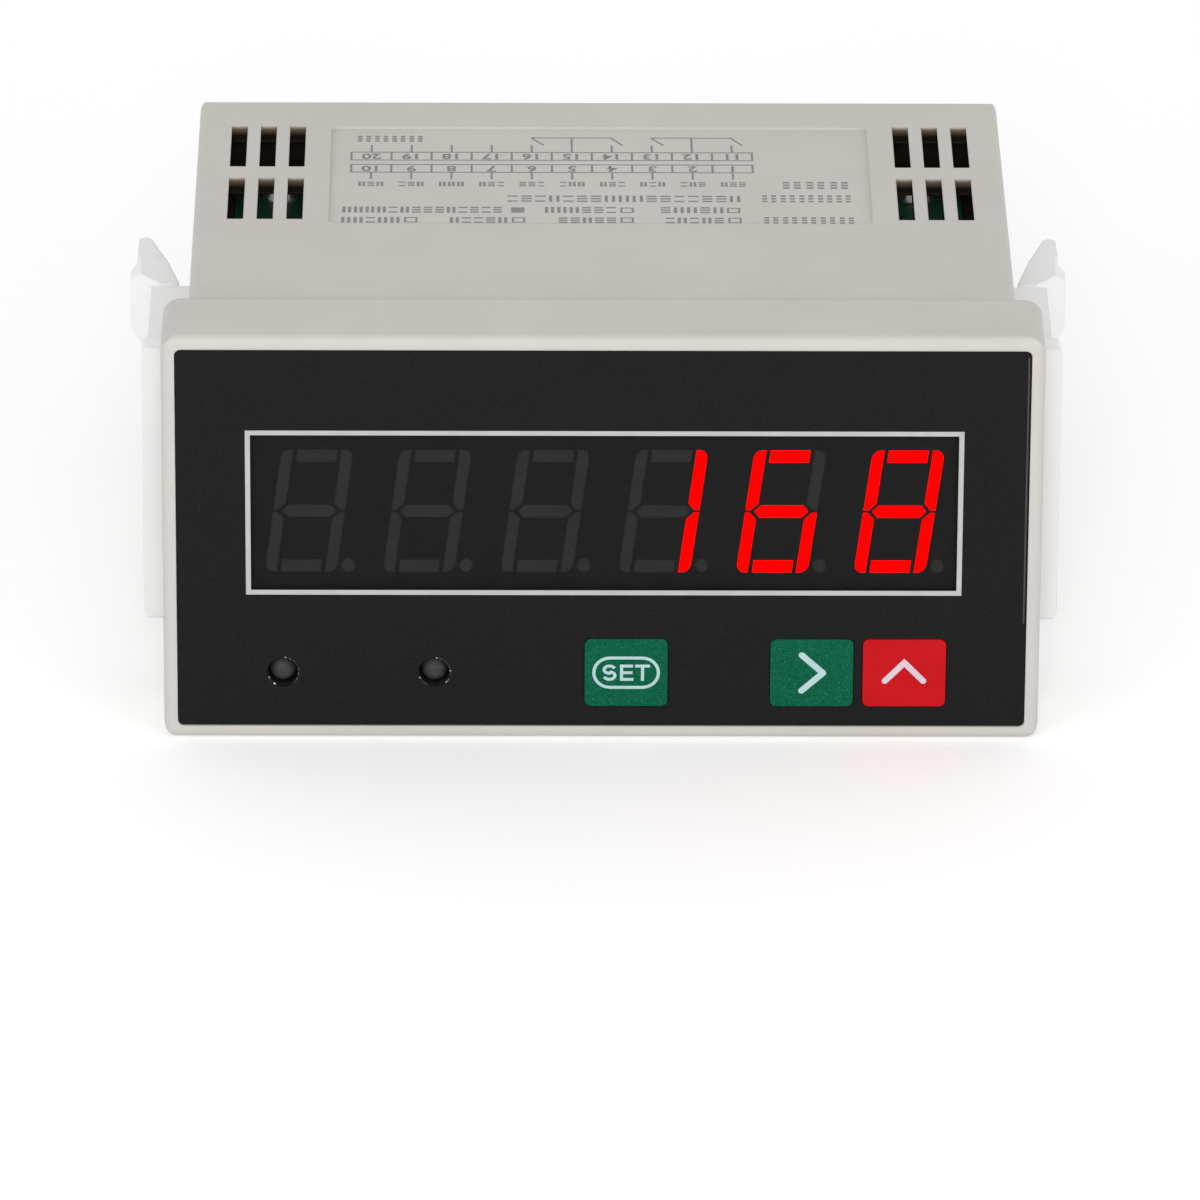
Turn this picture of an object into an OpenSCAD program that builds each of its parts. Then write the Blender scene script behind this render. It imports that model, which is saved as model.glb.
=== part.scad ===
// Panel counter: a six-digit LED counter in a plastic case for a 92 x 45 mm panel cut-out.
// Origin: centre of the bezel's back face, which seats on the panel.
// +X to the right seen from the front, +Y towards the back of the case, +Z up. Millimetres.

/* [Bezel] */
// Width of the bezel
bezel_w = 96; // [94:0.5:116]
// Height of the bezel
bezel_h = 48; // [47:0.5:60]
// Depth of the bezel in front of the panel
bezel_d = 10.6; // [9:0.1:14]
// Radius of the bezel's outline corners
bezel_corner_r = 2; // [0.5:0.1:3]
// Radius of the bezel's front edges
bezel_edge_r = 1; // [0.2:0.1:1.2]
// Width of the lip around the face
bezel_lip = 1.5; // [1.2:0.1:3]
// Radius of the lip's inner corners
lip_corner_r = 0.7; // [0.2:0.1:2]
// Thickness of the ledge behind the face plate
ledge_t = 2; // [1:0.1:2.5]
// Width of the ledge ring that carries the face plate
ledge_w = 2; // [1:0.1:2.5]
// Width of the seat on the panel at the left and right
seat_rim_x = 2.65; // [2:0.05:4]
// Width of the seat on the panel at the top and bottom
seat_rim_z = 2; // [1.8:0.1:4]

/* [Case] */
// Length of the case behind the panel
case_len = 62.3; // [58:0.1:90]
// Wall thickness of the case
wall_t = 2; // [1.5:0.1:2.5]
// Radius of the case's long edges
case_edge_r = 1.2; // [0.3:0.1:1.8]
// Radius of the case's rear edges
case_rear_r = 1.1; // [0.3:0.1:1.8]
// Width of a snap lug that holds the bezel on the case
lug_w = 10; // [6:0.5:14]
// Height of a snap lug
lug_h = 0.6; // [0.3:0.1:0.8]
// Length of a snap lug along the case
lug_len = 2; // [1:0.1:3]
// Distance of the snap lugs from the middle
lug_x = 28; // [15:0.5:34]

/* [Vents and label] */
// Width of a vent slot
vent_w = 1.8; // [1:0.1:2.2]
// Pitch of the vent slots across the case
vent_pitch = 3.3; // [2.8:0.1:3.6]
// Length of a vent slot
vent_len = 11.9; // [8:0.1:13]
// Web between the front and rear rows of vent slots
vent_web = 3.3; // [2:0.1:6]
// Distance from the middle to the innermost slot's centre
vent_x = 34.1; // [33:0.1:36]
// Distance from the case's rear end to the rear row of slots
vent_from_rear = 8; // [5:0.1:10]
// Width of the label recess
label_w = 60.5; // [40:0.5:62]
// Length of the label recess
label_len = 28.2; // [15:0.1:30]
// Depth of the label recess
label_depth = 0.35; // [0.2:0.05:0.6]
// Distance from the case's rear end to the label recess
label_from_rear = 8; // [5:0.1:12]
// Corner radius of the label recess
label_corner_r = 0.8; // [0.3:0.1:2]

/* [Clip rails] */
// Half height of the rail channel in each side
channel_half = 8.4; // [7.5:0.1:8.5]
// Depth of the rail channel
channel_depth = 2.2; // [2:0.1:2.6]
// Thickness of the rail lips at the channel's mouth
rail_lip_t = 0.9; // [0.7:0.1:1]
// Overhang of the rail lips into the channel's mouth
rail_lip_over = 1.3; // [1:0.1:1.5]
// Half height of the ratchet rack on the channel's floor
rack_half = 3; // [2:0.1:3.1]
// Pitch of the rack's teeth
tooth_pitch = 1.5; // [1:0.1:2]
// Height of the rack's teeth
tooth_h = 0.6; // [0.3:0.1:0.7]
// Number of teeth on the rack
tooth_count = 26; // [10:1:30]

/* [Clips] */
// Distance from the panel seat to the clip's foot at rest
panel_rest = 4.3; // [3:0.1:10]
// Height of the clip's foot
foot_h = 32.6; // [26:0.2:38]
// Reach of the clip's foot from the side of the case
foot_reach = 5.2; // [4:0.1:6]
// Thickness of the clip's foot
foot_t = 3; // [2:0.1:4]
// Chamfer of the foot's outer corners
foot_chamfer = 0.4; // [0.3:0.1:1.5]
// Thickness of the clip's arm
arm_t = 2.2; // [1.6:0.1:2.6]
// Half height of the clip's arm
arm_half = 7.4; // [7:0.1:9]
// Length of the clip's arm behind its foot
arm_len = 35; // [30:0.5:44]
// Length of the sloping gussets between foot and arm
gusset_len = 18; // [8:0.5:24]
// Thickness of the flanges that stand out along the arm's edges
arm_flange_t = 1.6; // [1:0.1:2]
// Half height of the flexible tongue
tongue_half = 3.1; // [2.5:0.1:3.2]
// Slit beside the tongue
tongue_slit = 0.6; // [0.4:0.1:0.8]
// Distance of the tongue's root behind the foot
tongue_back = 9.5; // [6:0.5:14]
// Distance of the pawl behind the foot
pawl_back = 26; // [18:0.5:28]
// Length of the tail behind the arm
tail_len = 24.5; // [20:0.5:26]
// Outward flare of the tail
tail_flare = 5.5; // [4:0.1:7]
// Outward slope of the tongue at the thumb rib
rib_flare = 2.9; // [1:0.1:3.2]
// Distance of the thumb rib behind the arm
rib_back = 12.5; // [10:0.5:14]
// How far the thumb rib stands out of the tail
rib_proud = 0.7; // [0.5:0.1:1.5]
// Chamfer of the thumb rib's corners
rib_chamfer = 1.2; // [0.5:0.1:1.5]
// Half height of the tail
tail_half = 4.2; // [3.4:0.1:5]
// Half height of the tail's tip
tip_half = 3; // [2:0.1:3.3]
// Length of the tail in front of the thumb rib
tail_lead = 4; // [2:0.5:6]
// Thickness of the tail's tip
tip_t = 1.4; // [1:0.1:2]

/* [Face] */
// Recess of the overlay behind the bezel's front
face_recess = 0.15; // [0.12:0.01:0.4]
// Thickness of the overlay film
film_t = 0.4; // [0.3:0.05:0.6]
// Thickness of the face plate
plate_t = 2; // [1.8:0.1:2.6]
// Height of the key row above the face's lower edge
key_row_up = 6.4; // [6.2:0.1:7]
// Drop of the display's middle below the face's upper edge
window_drop = 19.4; // [18:0.1:21]
// Offset of the display from the middle of the face
window_x = 0.2; // [-0.5:0.05:0.5]
// Line width of the border around the display
border_line = 0.55; // [0.3:0.05:1]
// Thickness of the border line
border_t = 0.1; // [0.05:0.01:0.15]
// Seat of the window on the face plate at the left and right
window_rim_x = 0.45; // [0.3:0.05:1]
// Seat of the window on the face plate at the top and bottom
window_rim_z = 0.2; // [0.1:0.05:1]
// Radius of the posts that carry the display board
post_r = 1.9; // [1.6:0.1:2.2]
// Distance of the posts from the display board's edges
post_inset = 2.2; // [2:0.1:3]

/* [Keys] */
// Width of a key
key_w = 9.1; // [6:0.1:9.3]
// Height of a key
key_h = 8.05; // [5:0.05:8.4]
// Corner radius of a key
key_r = 0.7; // [0.2:0.1:1.5]
// Travel of a key
key_travel = 0.4; // [0.2:0.05:0.5]
// How far a key stands proud of the overlay
key_proud = 0.1; // [0.05:0.01:0.12]
// Height of the flange that keeps a key behind the overlay
flange_w = 0.7; // [0.4:0.1:0.8]
// Thickness of that flange
flange_t = 0.5; // [0.3:0.05:0.6]
// Radius of a key's stem
stem_r = 1.5; // [1:0.1:1.8]
// Place of the set key
set_key_x = 2.7; // [-5:0.1:8]
// Place of the shift key
shift_key_x = 23.05; // [21:0.05:23.2]
// Place of the up key
up_key_x = 33.2; // [33.2:0.1:34]
// Side of a tact switch
switch_w = 6; // [4.5:0.1:6.5]
// Height of a tact switch's body
switch_h = 3.5; // [3:0.1:4.3]
// Radius of a switch's plunger
plunger_r = 1.6; // [1:0.1:1.8]
// Length of the plunger that stands out of the switch
plunger_out = 0.9; // [0.7:0.1:1.2]
// Length of the plunger inside the switch
plunger_in = 1.2; // [0.8:0.1:1.8]

/* [Indicators] */
// Place of the left indicator
led_left_x = -34.9; // [-36:0.1:-30]
// Place of the right indicator
led_right_x = -18.3; // [-26:0.1:-10]
// Radius of an indicator's dome
led_r = 1.5; // [1:0.1:1.6]
// Length of an indicator from dome to flange
led_len = 5.3; // [4:0.1:5.8]
// Gap around the dome in the face
led_gap = 0.25; // [0.15:0.05:0.4]
// Width of an indicator's flange
led_flange_w = 0.4; // [0.2:0.1:0.6]
// Thickness of an indicator's flange
led_flange_t = 1; // [0.6:0.1:1.4]
// Thickness of an indicator's leads
led_lead_t = 0.5; // [0.3:0.1:0.7]
// Pitch of an indicator's leads
led_lead_pitch = 2.54; // [1.8:0.01:2.54]

/* [Digits] */
// Number on the display
reading = 168; // [0:1:999999]
// Pitch of the digits
digit_pitch = 12.87; // [12:0.01:13]
// Height of a digit
digit_h = 14.6; // [12:0.1:15]
// Width of a digit before its slant
digit_w = 8; // [7:0.1:8.4]
// Slant of the digits in degrees
digit_slant = 7.5; // [0:0.5:9]
// Stroke of a segment
seg_t = 1.45; // [1:0.05:1.6]
// Gap between the segments
seg_gap = 0.3; // [0.2:0.05:0.4]
// Depth of the segments in the display
seg_depth = 1; // [0.5:0.1:2]
// Radius of a decimal point
dot_r = 0.8; // [0.5:0.05:0.85]
// Height of a display module
module_h = 19; // [18:0.1:21]
// Depth of a display module
module_d = 8; // [7.5:0.1:8.6]
// Gap between the two modules
module_gap = 0.1; // [0.05:0.05:0.3]

/* [Boards] */
// Thickness of the circuit boards
board_t = 1.6; // [1:0.1:2]
// Gap from the boards to the case's walls
board_gap = 0.3; // [0.2:0.05:0.6]
// Height of the guide ribs that keep the boards down
rib_h = 1.2; // [0.8:0.1:1.6]
// Radius of the display board's screws
board_screw_r = 0.9; // [0.7:0.1:1.2]
// Length of the display board's screws in the posts
board_screw_len = 4.2; // [3:0.1:5]
// Radius of those screws' heads
board_head_r = 1.8; // [1.5:0.1:2]
// Height of those screws' heads
board_head_h = 1.1; // [0.8:0.1:1.3]
// Span of the cross in those screws' heads
board_cross = 2.4; // [1.6:0.1:2.8]
// Pins in each board-to-board header
header_pins = 12; // [6:1:16]
// Pitch of the header pins
header_pitch = 2.54; // [2:0.01:2.54]

/* [Terminals] */
// Terminals in each row
ways = 10; // [4:1:10]
// Pitch of the terminals
way_pitch = 8.05; // [6.5:0.01:8.05]
// Thickness of the barriers between terminals
barrier_t = 1.2; // [1:0.1:1.4]
// Half of the bar between the two rows
row_web_half = 0.8; // [0.5:0.1:1]
// Reach of the terminal strips behind the case
strip_out = 8.4; // [7.5:0.1:11]
// Reach of the terminal strips inside the case
strip_in = 10; // [9:0.1:14]
// Depth of the wire space in front of the terminal plates
wire_depth = 5.4; // [4.8:0.1:7]
// Side of a terminal plate
terminal_w = 5.8; // [5:0.1:5.9]
// Thickness of a terminal plate
terminal_t = 0.8; // [0.5:0.1:1]
// Thickness of a clamp washer
washer_t = 0.9; // [0.5:0.1:1.2]
// Radius of a terminal screw
screw_r = 1.5; // [1.2:0.1:1.6]
// Radius of a terminal screw's head
head_r = 2.6; // [2.2:0.1:2.7]
// Height of a terminal screw's head
head_h = 2; // [1.5:0.1:2.4]
// Length of a terminal screw under its head
screw_len = 6; // [5:0.1:6.2]
// Side of the pin that runs up to the circuit board
pin_t = 1; // [0.6:0.1:1.1]
// Distance of those pins from the case's rear wall
pin_inset = 2; // [1.8:0.1:2.4]
// Radius of the board's holes for those pins
pin_hole_r = 0.8; // [0.8:0.05:1]
// How far those pins stand out of the board
solder_out = 1; // [0.5:0.1:1.5]
// Width of the metal leg inside the moulding
leg_w = 3; // [2:0.1:4]
// Width of the driver slot in a screw
slot_w = 0.7; // [0.5:0.1:1]

/* [Parts on the boards] */
// Width of a relay
relay_w = 15.5; // [12:0.1:16]
// Length of a relay
relay_len = 19; // [15:0.1:20]
// Height of a relay
relay_h = 15.2; // [10:0.1:16]
// Width of the transformer's core
core_w = 16; // [12:0.1:18]
// Height of the transformer's core
core_h = 12; // [10:0.1:14]
// Stack of the transformer's core
core_t = 5; // [4:0.1:7]
// Width of the transformer's limbs
limb_w = 3; // [2:0.1:3.4]
// Length of the transformer's coil
coil_len = 13; // [10:0.1:15]
// Radius of the bulk capacitor
bulk_r = 5; // [4:0.1:6.3]
// Length of the bulk capacitor
bulk_len = 20; // [12:0.5:22]
// Radius of an output capacitor
output_r = 4; // [3:0.1:5]
// Height of an output capacitor
output_h = 12; // [8:0.1:14]
// Width of the bridge rectifier
rectifier_w = 8.5; // [6:0.1:10]
// Length of the bridge rectifier
rectifier_len = 6.5; // [5:0.1:8]
// Height of the bridge rectifier
rectifier_h = 3; // [2:0.1:4]
// Radius of the fuse
fuse_r = 4.2; // [3:0.1:4.4]
// Height of the fuse
fuse_h = 8; // [5:0.1:10]
// Number of optocouplers
opto_count = 3; // [1:1:4]
// Width of an optocoupler
opto_w = 4.6; // [4:0.1:5]
// Length of an optocoupler
opto_len = 6.4; // [5:0.1:8]
// Height of an optocoupler
opto_h = 3.5; // [2:0.1:4]
// Space between parts on the boards
part_gap = 1; // [0.5:0.1:1.2]
// Side of the microcontroller
chip_w = 10; // [7:0.1:12]
// Height of the microcontroller
chip_h = 1.4; // [1:0.1:2]

/* [Fits] */
// Clearance between pieces that plug together
fit = 0.1; // [0.05:0.01:0.15]
// Clearance between pieces that slide
slide_gap = 0.2; // [0.15:0.01:0.25]
// Clearance of the clips from the case's sides
arm_gap = 0.4; // [0.3:0.05:0.6]

/* [Hidden] */
$fn = 48;
over = 1; // how far a cut runs past the face that it opens

// Depths from the front to the back
bezel_front = -bezel_d;
overlay_front = bezel_front + face_recess;
plate_front = overlay_front + film_t;
plate_back = plate_front + plate_t;
ledge_back = plate_back + ledge_t;
module_front = plate_front + slide_gap;
module_back = module_front + module_d;
board_front = module_back;
board_back = board_front + board_t;
case_front = ledge_back;
case_rear = case_len;
cavity_rear = case_len - wall_t;

// Face
face_w = bezel_w - 2 * bezel_lip;
face_h = bezel_h - 2 * bezel_lip;
key_z = fit + key_row_up - face_h / 2;
window_z = face_h / 2 - window_drop;
key_xs = [set_key_x, shift_key_x, up_key_x];
led_xs = [led_left_x, led_right_x];
pocket_d = flange_t + key_travel + 2 * fit;

// Display
digits_per_module = 3;
digit_count = 2 * digits_per_module;
module_w = digits_per_module * digit_pitch - module_gap;
modules_w = 2 * module_w + module_gap;
window_hole_w = modules_w + 2 * fit;
window_hole_h = module_h + 2 * fit;
window_w = window_hole_w + 2 * window_rim_x;
window_h = window_hole_h + 2 * window_rim_z;

// Case
case_w = bezel_w - 2 * seat_rim_x;
case_h = bezel_h - 2 * seat_rim_z;
cavity_w = case_w - 2 * wall_t;
cavity_h = case_h - 2 * wall_t;
step_half = channel_half + wall_t;
step_front = board_back + fit;
channel_floor_x = case_w / 2 - channel_depth;
channel_front = step_front + wall_t;
rack_front = channel_front + wall_t;
lug_y = case_front + lug_len / 2 + (-case_front - lug_len) / 2;

// Boards
board_w = cavity_w - 2 * board_gap;
face_board_h = cavity_h - 2 * board_gap;
deck_front = board_back + fit;
deck_rear = cavity_rear - board_gap;
post_x = board_w / 2 - post_inset;
post_z = face_board_h / 2 - post_inset;

// Terminals
way_room = 2 * (channel_floor_x - wall_t - board_gap) - barrier_t;
way_step = min(way_pitch, way_room / ways);
strip_w = ways * way_step + barrier_t;
strip_front = cavity_rear - strip_in;
strip_rear = case_len + strip_out;
strip_low = row_web_half + slide_gap;
plate_seat = strip_rear - wire_depth;
pin_y = cavity_rear - pin_inset;
screw_z = (strip_low + barrier_t + step_half) / 2;
way_floor = strip_low + barrier_t;
leg_top = way_floor + terminal_t;

// Clips, measured from the middle of the case outwards and from the foot backwards
arm_in = case_w / 2 + arm_gap;
arm_out = arm_in + arm_t;
foot_out = case_w / 2 + foot_reach;
hook_front = foot_t + over;
rail_low = tongue_half + tongue_slit;
tongue_root = foot_t + tongue_back;
pawl_y = foot_t + pawl_back;
pawl_len = 2 * tooth_pitch;
arm_end = foot_t + arm_len;
rib_y = arm_end + rib_back;
rib_in = arm_in + rib_flare;

// Plates and rounded shapes
module along_y(y0, y1) {
    translate([0, y1, 0])
        rotate([90, 0, 0])
            linear_extrude(y1 - y0)
                children();
}

module along_x(x0, x1) {
    translate([x0, 0, 0])
        rotate([90, 0, 90])
            linear_extrude(x1 - x0)
                children();
}

module along_z(z0, z1) {
    translate([0, 0, z0])
        linear_extrude(z1 - z0)
            children();
}

module box(x, y, z) {
    translate([x[0], y[0], z[0]])
        cube([x[1] - x[0], y[1] - y[0], z[1] - z[0]]);
}

module rounded_rect(w, h, r) {
    square([w - 2 * r, h], center = true);
    square([w, h - 2 * r], center = true);
    for (x = [-1, 1], y = [-1, 1])
        translate([x * (w / 2 - r), y * (h / 2 - r)])
            circle(r);
}

module rod_y(r, y0, y1) {
    translate([0, y0, 0])
        rotate([-90, 0, 0])
            cylinder(r = r, h = y1 - y0);
}

// A block with round edges at one end of its length along Y and round long edges
module round_ended_block(w, h, y0, y1, long_r, end_r, end_is_front) {
    length = y1 - y0 + 2 * end_r;
    middle = (y0 + y1) / 2 + (end_is_front ? end_r : -end_r);
    intersection() {
        along_y(y0, y1)
            rounded_rect(w, h, long_r);
        along_z(-h, h)
            translate([0, middle])
                rounded_rect(w, length, end_r);
        along_x(-w, w)
            translate([middle, 0])
                rounded_rect(length, h, end_r);
    }
}

module at_posts() {
    for (x = [-post_x, post_x], z = [-post_z, post_z])
        translate([x, 0, z])
            children();
}

// Snap lugs at the case's mouth, and the grooves that they click into
module snap_lugs(clear) {
    reach = case_h / 2 + lug_h + clear;
    for (side = [-1, 1], face = [0, 1])
        mirror([0, 0, face])
            box([side * lug_x - lug_w / 2 - clear, side * lug_x + lug_w / 2 + clear],
                [lug_y - lug_len / 2 - clear, lug_y + lug_len / 2 + clear],
                [cavity_h / 2 + wall_t / 2, reach]);
}

module bezel() {
    color("#d3cfc9")
        difference() {
            round_ended_block(bezel_w, bezel_h, bezel_front, 0, bezel_corner_r, bezel_edge_r, true);
            along_y(bezel_front - over, plate_back)
                rounded_rect(face_w, face_h, lip_corner_r);
            along_y(bezel_front, case_front)
                square([face_w - 2 * ledge_w, face_h - 2 * ledge_w], center = true);
            along_y(ledge_back, over)
                rounded_rect(case_w + 2 * fit, case_h + 2 * fit, case_edge_r + fit);
            snap_lugs(fit);
        }
}

module face_outline() {
    rounded_rect(face_w - 2 * fit, face_h - 2 * fit, lip_corner_r - fit);
}

module at_keys() {
    for (x = key_xs)
        translate([x, key_z])
            children();
}

module at_leds() {
    for (x = led_xs)
        translate([x, key_z])
            children();
}

module key_outline(grow) {
    rounded_rect(key_w + 2 * grow, key_h + 2 * grow, key_r + grow);
}

// The flange stands out above and below its key, because the keys sit close side by side
module flange_outline(grow) {
    rounded_rect(key_w + 2 * grow, key_h + 2 * flange_w + 2 * grow, key_r + grow);
}

module face_plate() {
    color("#1e1e1e") {
        difference() {
            along_y(plate_front, plate_back)
                face_outline();
            along_y(plate_front - over, plate_back + over) {
                translate([window_x, window_z])
                    square([window_hole_w, window_hole_h], center = true);
                at_leds()
                    circle(led_r + led_gap);
                at_keys()
                    circle(stem_r + slide_gap);
            }
            along_y(plate_front - over, plate_front + pocket_d)
                at_keys()
                    flange_outline(slide_gap);
        }
        at_posts()
            difference() {
                rod_y(post_r, plate_back, board_front);
                rod_y(board_screw_r, board_front - board_screw_len - fit, board_front + over);
            }
    }
}

module face_overlay() {
    color("#262626")
        difference() {
            along_y(overlay_front, plate_front)
                face_outline();
            along_y(overlay_front - over, plate_front + over) {
                translate([window_x, window_z])
                    square([window_w, window_h], center = true);
                at_leds()
                    circle(led_r + led_gap);
                at_keys()
                    key_outline(slide_gap / 2);
            }
        }
}

module window_border() {
    color("#c9c9c9")
        translate([window_x, 0, window_z])
            along_y(overlay_front, overlay_front + border_t)
                difference() {
                    square([window_w, window_h], center = true);
                    square([window_w - 2 * border_line, window_h - 2 * border_line], center = true);
                }
}

module display_window() {
    color("#212121", 0.5)
        translate([window_x, 0, window_z])
            along_y(overlay_front + border_t, plate_front)
                square([window_w, window_h], center = true);
}

// One key: its pad in the overlay, the flange behind it and the stem that reaches the switch
module key(x, tint) {
    stem_back = board_front - switch_h - plunger_out;
    flange_front = plate_front + fit;
    color(tint)
        translate([x, 0, key_z]) {
            along_y(overlay_front - key_proud, flange_front)
                key_outline(0);
            along_y(flange_front, flange_front + flange_t)
                flange_outline(0);
            rod_y(stem_r, flange_front + flange_t, stem_back);
        }
}

module key_set() {
    key(set_key_x, "#106948");
}

module key_shift() {
    key(shift_key_x, "#106948");
}

module key_up() {
    key(up_key_x, "#cb1a22");
}

module plunger(x) {
    switch_front = board_front - switch_h;
    color("#2a2a2a")
        translate([x, 0, key_z])
            rod_y(plunger_r, switch_front - plunger_out, switch_front + plunger_in);
}

module plunger_set() {
    plunger(set_key_x);
}

module plunger_shift() {
    plunger(shift_key_x);
}

module plunger_up() {
    plunger(up_key_x);
}

module tact_switches() {
    switch_front = board_front - switch_h;
    color("#b9bcc0")
        for (x = key_xs)
            translate([x, 0, key_z])
                difference() {
                    along_y(switch_front, board_front)
                        square(switch_w, center = true);
                    rod_y(plunger_r + slide_gap, switch_front - over,
                        switch_front + plunger_in + key_travel + slide_gap);
                }
}

// An indicator: round dome, flange and two leads that stand on the display board
module indicator(x) {
    dome_front = overlay_front + fit;
    flange_back = dome_front + led_len;
    color("#3a3a3a")
        translate([x, 0, key_z]) {
            translate([0, dome_front + led_r, 0])
                sphere(led_r);
            rod_y(led_r, dome_front + led_r, flange_back - led_flange_t);
            rod_y(led_r + led_flange_w, flange_back - led_flange_t, flange_back);
            for (side = [-1, 1])
                translate([side * led_lead_pitch / 2, 0, 0])
                    along_y(flange_back, board_front)
                        square(led_lead_t, center = true);
        }
}

module indicator_left() {
    indicator(led_left_x);
}

module indicator_right() {
    indicator(led_right_x);
}

// Segments of a digit, drawn upright from its lower left corner and then slanted about its middle
function slant(p) = [p[0] - digit_w / 2 + (p[1] - digit_h / 2) * tan(digit_slant), p[1] - digit_h / 2];
function flip_x(p) = [digit_w - p[0], p[1]];
function flip_z(p) = [p[0], digit_h - p[1]];
function corner_arc(r) = [for (a = [90:15:180]) [r + r * cos(a), digit_h - r + r * sin(a)]];

seg_mid = digit_h / 2;
seg_slope = seg_gap * sqrt(0.5);
seg_corner_r = seg_t * 0.7;
bar_in = seg_t + seg_gap;
point_x = seg_t / 2 + seg_slope;

upper_left_seg = concat(corner_arc(seg_corner_r), [
    [0, seg_mid + seg_gap / 2],
    [seg_t / 2 - seg_slope + seg_gap / 2, seg_mid + seg_gap / 2],
    [seg_t, seg_mid + seg_t / 2 + seg_slope],
    [seg_t, digit_h]]);
top_seg = [[bar_in, digit_h], [digit_w - bar_in, digit_h], [digit_w - bar_in, digit_h - seg_t],
    [bar_in, digit_h - seg_t]];
middle_seg = [[point_x, seg_mid], [point_x + seg_t / 2, seg_mid + seg_t / 2],
    [digit_w - point_x - seg_t / 2, seg_mid + seg_t / 2], [digit_w - point_x, seg_mid],
    [digit_w - point_x - seg_t / 2, seg_mid - seg_t / 2], [point_x + seg_t / 2, seg_mid - seg_t / 2]];

function flipped_x(points) = [for (p = points) flip_x(p)];
function flipped_z(points) = [for (p = points) flip_z(p)];
function segment_points(letter) =
    letter == "a" ? top_seg :
    letter == "b" ? flipped_x(upper_left_seg) :
    letter == "c" ? flipped_z(flipped_x(upper_left_seg)) :
    letter == "d" ? flipped_z(top_seg) :
    letter == "e" ? flipped_z(upper_left_seg) :
    letter == "f" ? upper_left_seg :
    middle_seg;

// The segments that each figure lights, and the figure at each place from the left
segment_letters = "abcdefg";
figures = ["abcdef", "bc", "abged", "abgcd", "fgbc", "afgcd", "afgedc", "abc", "abcdefg", "abcdfg"];
function place_value(i) = pow(10, digit_count - 1 - i);
function figure_at(i) =
    reading < place_value(i) && i < digit_count - 1 ? "" : figures[floor(reading / place_value(i)) % 10];
function is_lit(i, letter) = len(search(letter, figure_at(i))) > 0;
function digit_x(i) = (i - (digit_count - 1) / 2) * digit_pitch;

module segment(letter) {
    polygon([for (p = segment_points(letter)) slant(p)]);
}

module decimal_point() {
    translate(slant([digit_w + dot_r + seg_gap, dot_r]))
        circle(dot_r);
}

module in_display(y0, y1) {
    translate([window_x, 0, window_z])
        along_y(y0, y1)
            children();
}

module lit_segments() {
    color("#ff0000")
        in_display(module_front, module_front + seg_depth)
            for (i = [0:digit_count - 1], letter = segment_letters)
                if (is_lit(i, letter))
                    translate([digit_x(i), 0])
                        segment(letter);
}

module dark_segments() {
    color("#2f2f2f")
        in_display(module_front, module_front + seg_depth)
            for (i = [0:digit_count - 1])
                translate([digit_x(i), 0]) {
                    decimal_point();
                    for (letter = segment_letters)
                        if (!is_lit(i, letter))
                            segment(letter);
                }
}

module display_module(first) {
    middle = (digit_x(first) + digit_x(first + digits_per_module - 1)) / 2;
    color("#1c1c1c")
        difference() {
            in_display(module_front, module_back)
                translate([middle, 0])
                    square([module_w, module_h], center = true);
            in_display(module_front - over, module_front + seg_depth)
                for (i = [first:first + digits_per_module - 1])
                    translate([digit_x(i), 0]) {
                        decimal_point();
                        for (letter = segment_letters)
                            segment(letter);
                    }
        }
}

module display_module_left() {
    display_module(0);
}

module display_module_right() {
    display_module(digits_per_module);
}

module display_board() {
    color("#0f5a34")
        difference() {
            along_y(board_front, board_back)
                square([board_w, face_board_h], center = true);
            at_posts()
                rod_y(board_screw_r + fit, board_front - over, board_back + over);
        }
}

module board_screws() {
    color("#b5b8bc")
        at_posts() {
            rod_y(board_screw_r - fit, board_front - board_screw_len, board_back);
            difference() {
                rod_y(board_head_r, board_back, board_back + board_head_h);
                along_y(board_back + board_head_h / 2, board_back + board_head_h + over) {
                    square([board_cross, slot_w], center = true);
                    square([slot_w, board_cross], center = true);
                }
            }
        }
}

module microcontroller() {
    color("#222222")
        along_y(board_back, board_back + chip_h)
            square(chip_w, center = true);
}

// The case: shell, steps behind the rail channels, guide ribs, vents and label recess
module case_cavity() {
    along_y(case_front - over, step_front)
        square([cavity_w, cavity_h], center = true);
    difference() {
        along_y(step_front - over, cavity_rear)
            square([cavity_w, cavity_h], center = true);
        for (side = [0, 1])
            mirror([side, 0, 0])
                box([channel_floor_x - wall_t, case_w], [step_front, case_len + over],
                    [-step_half, step_half]);
        for (side = [0, 1], face = [0, 1])
            mirror([side, 0, 0])
                mirror([0, 0, face])
                    box([cavity_w / 2 - wall_t, case_w], [step_front, case_len + over],
                        [step_half + board_t + slide_gap, step_half + board_t + slide_gap + rib_h]);
    }
}

module rail_channel() {
    along_y(channel_front, case_len + over) {
        translate([channel_floor_x, -channel_half])
            square([channel_depth - rail_lip_t, 2 * channel_half]);
        translate([channel_floor_x, rail_lip_over - channel_half])
            square([channel_depth + over, 2 * (channel_half - rail_lip_over)]);
    }
}

// Saw teeth that rise towards the panel and drop towards the rear
module rack() {
    profile = [for (i = [0:tooth_count - 1], tip = [0, 1])
        [channel_floor_x + tip * tooth_h, rack_front + (i + tip) * tooth_pitch]];
    along_z(-rack_half, rack_half)
        polygon(concat(profile, [
            [channel_floor_x, rack_front + tooth_count * tooth_pitch],
            [channel_floor_x - wall_t / 2, rack_front + tooth_count * tooth_pitch],
            [channel_floor_x - wall_t / 2, rack_front]]));
}

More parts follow.
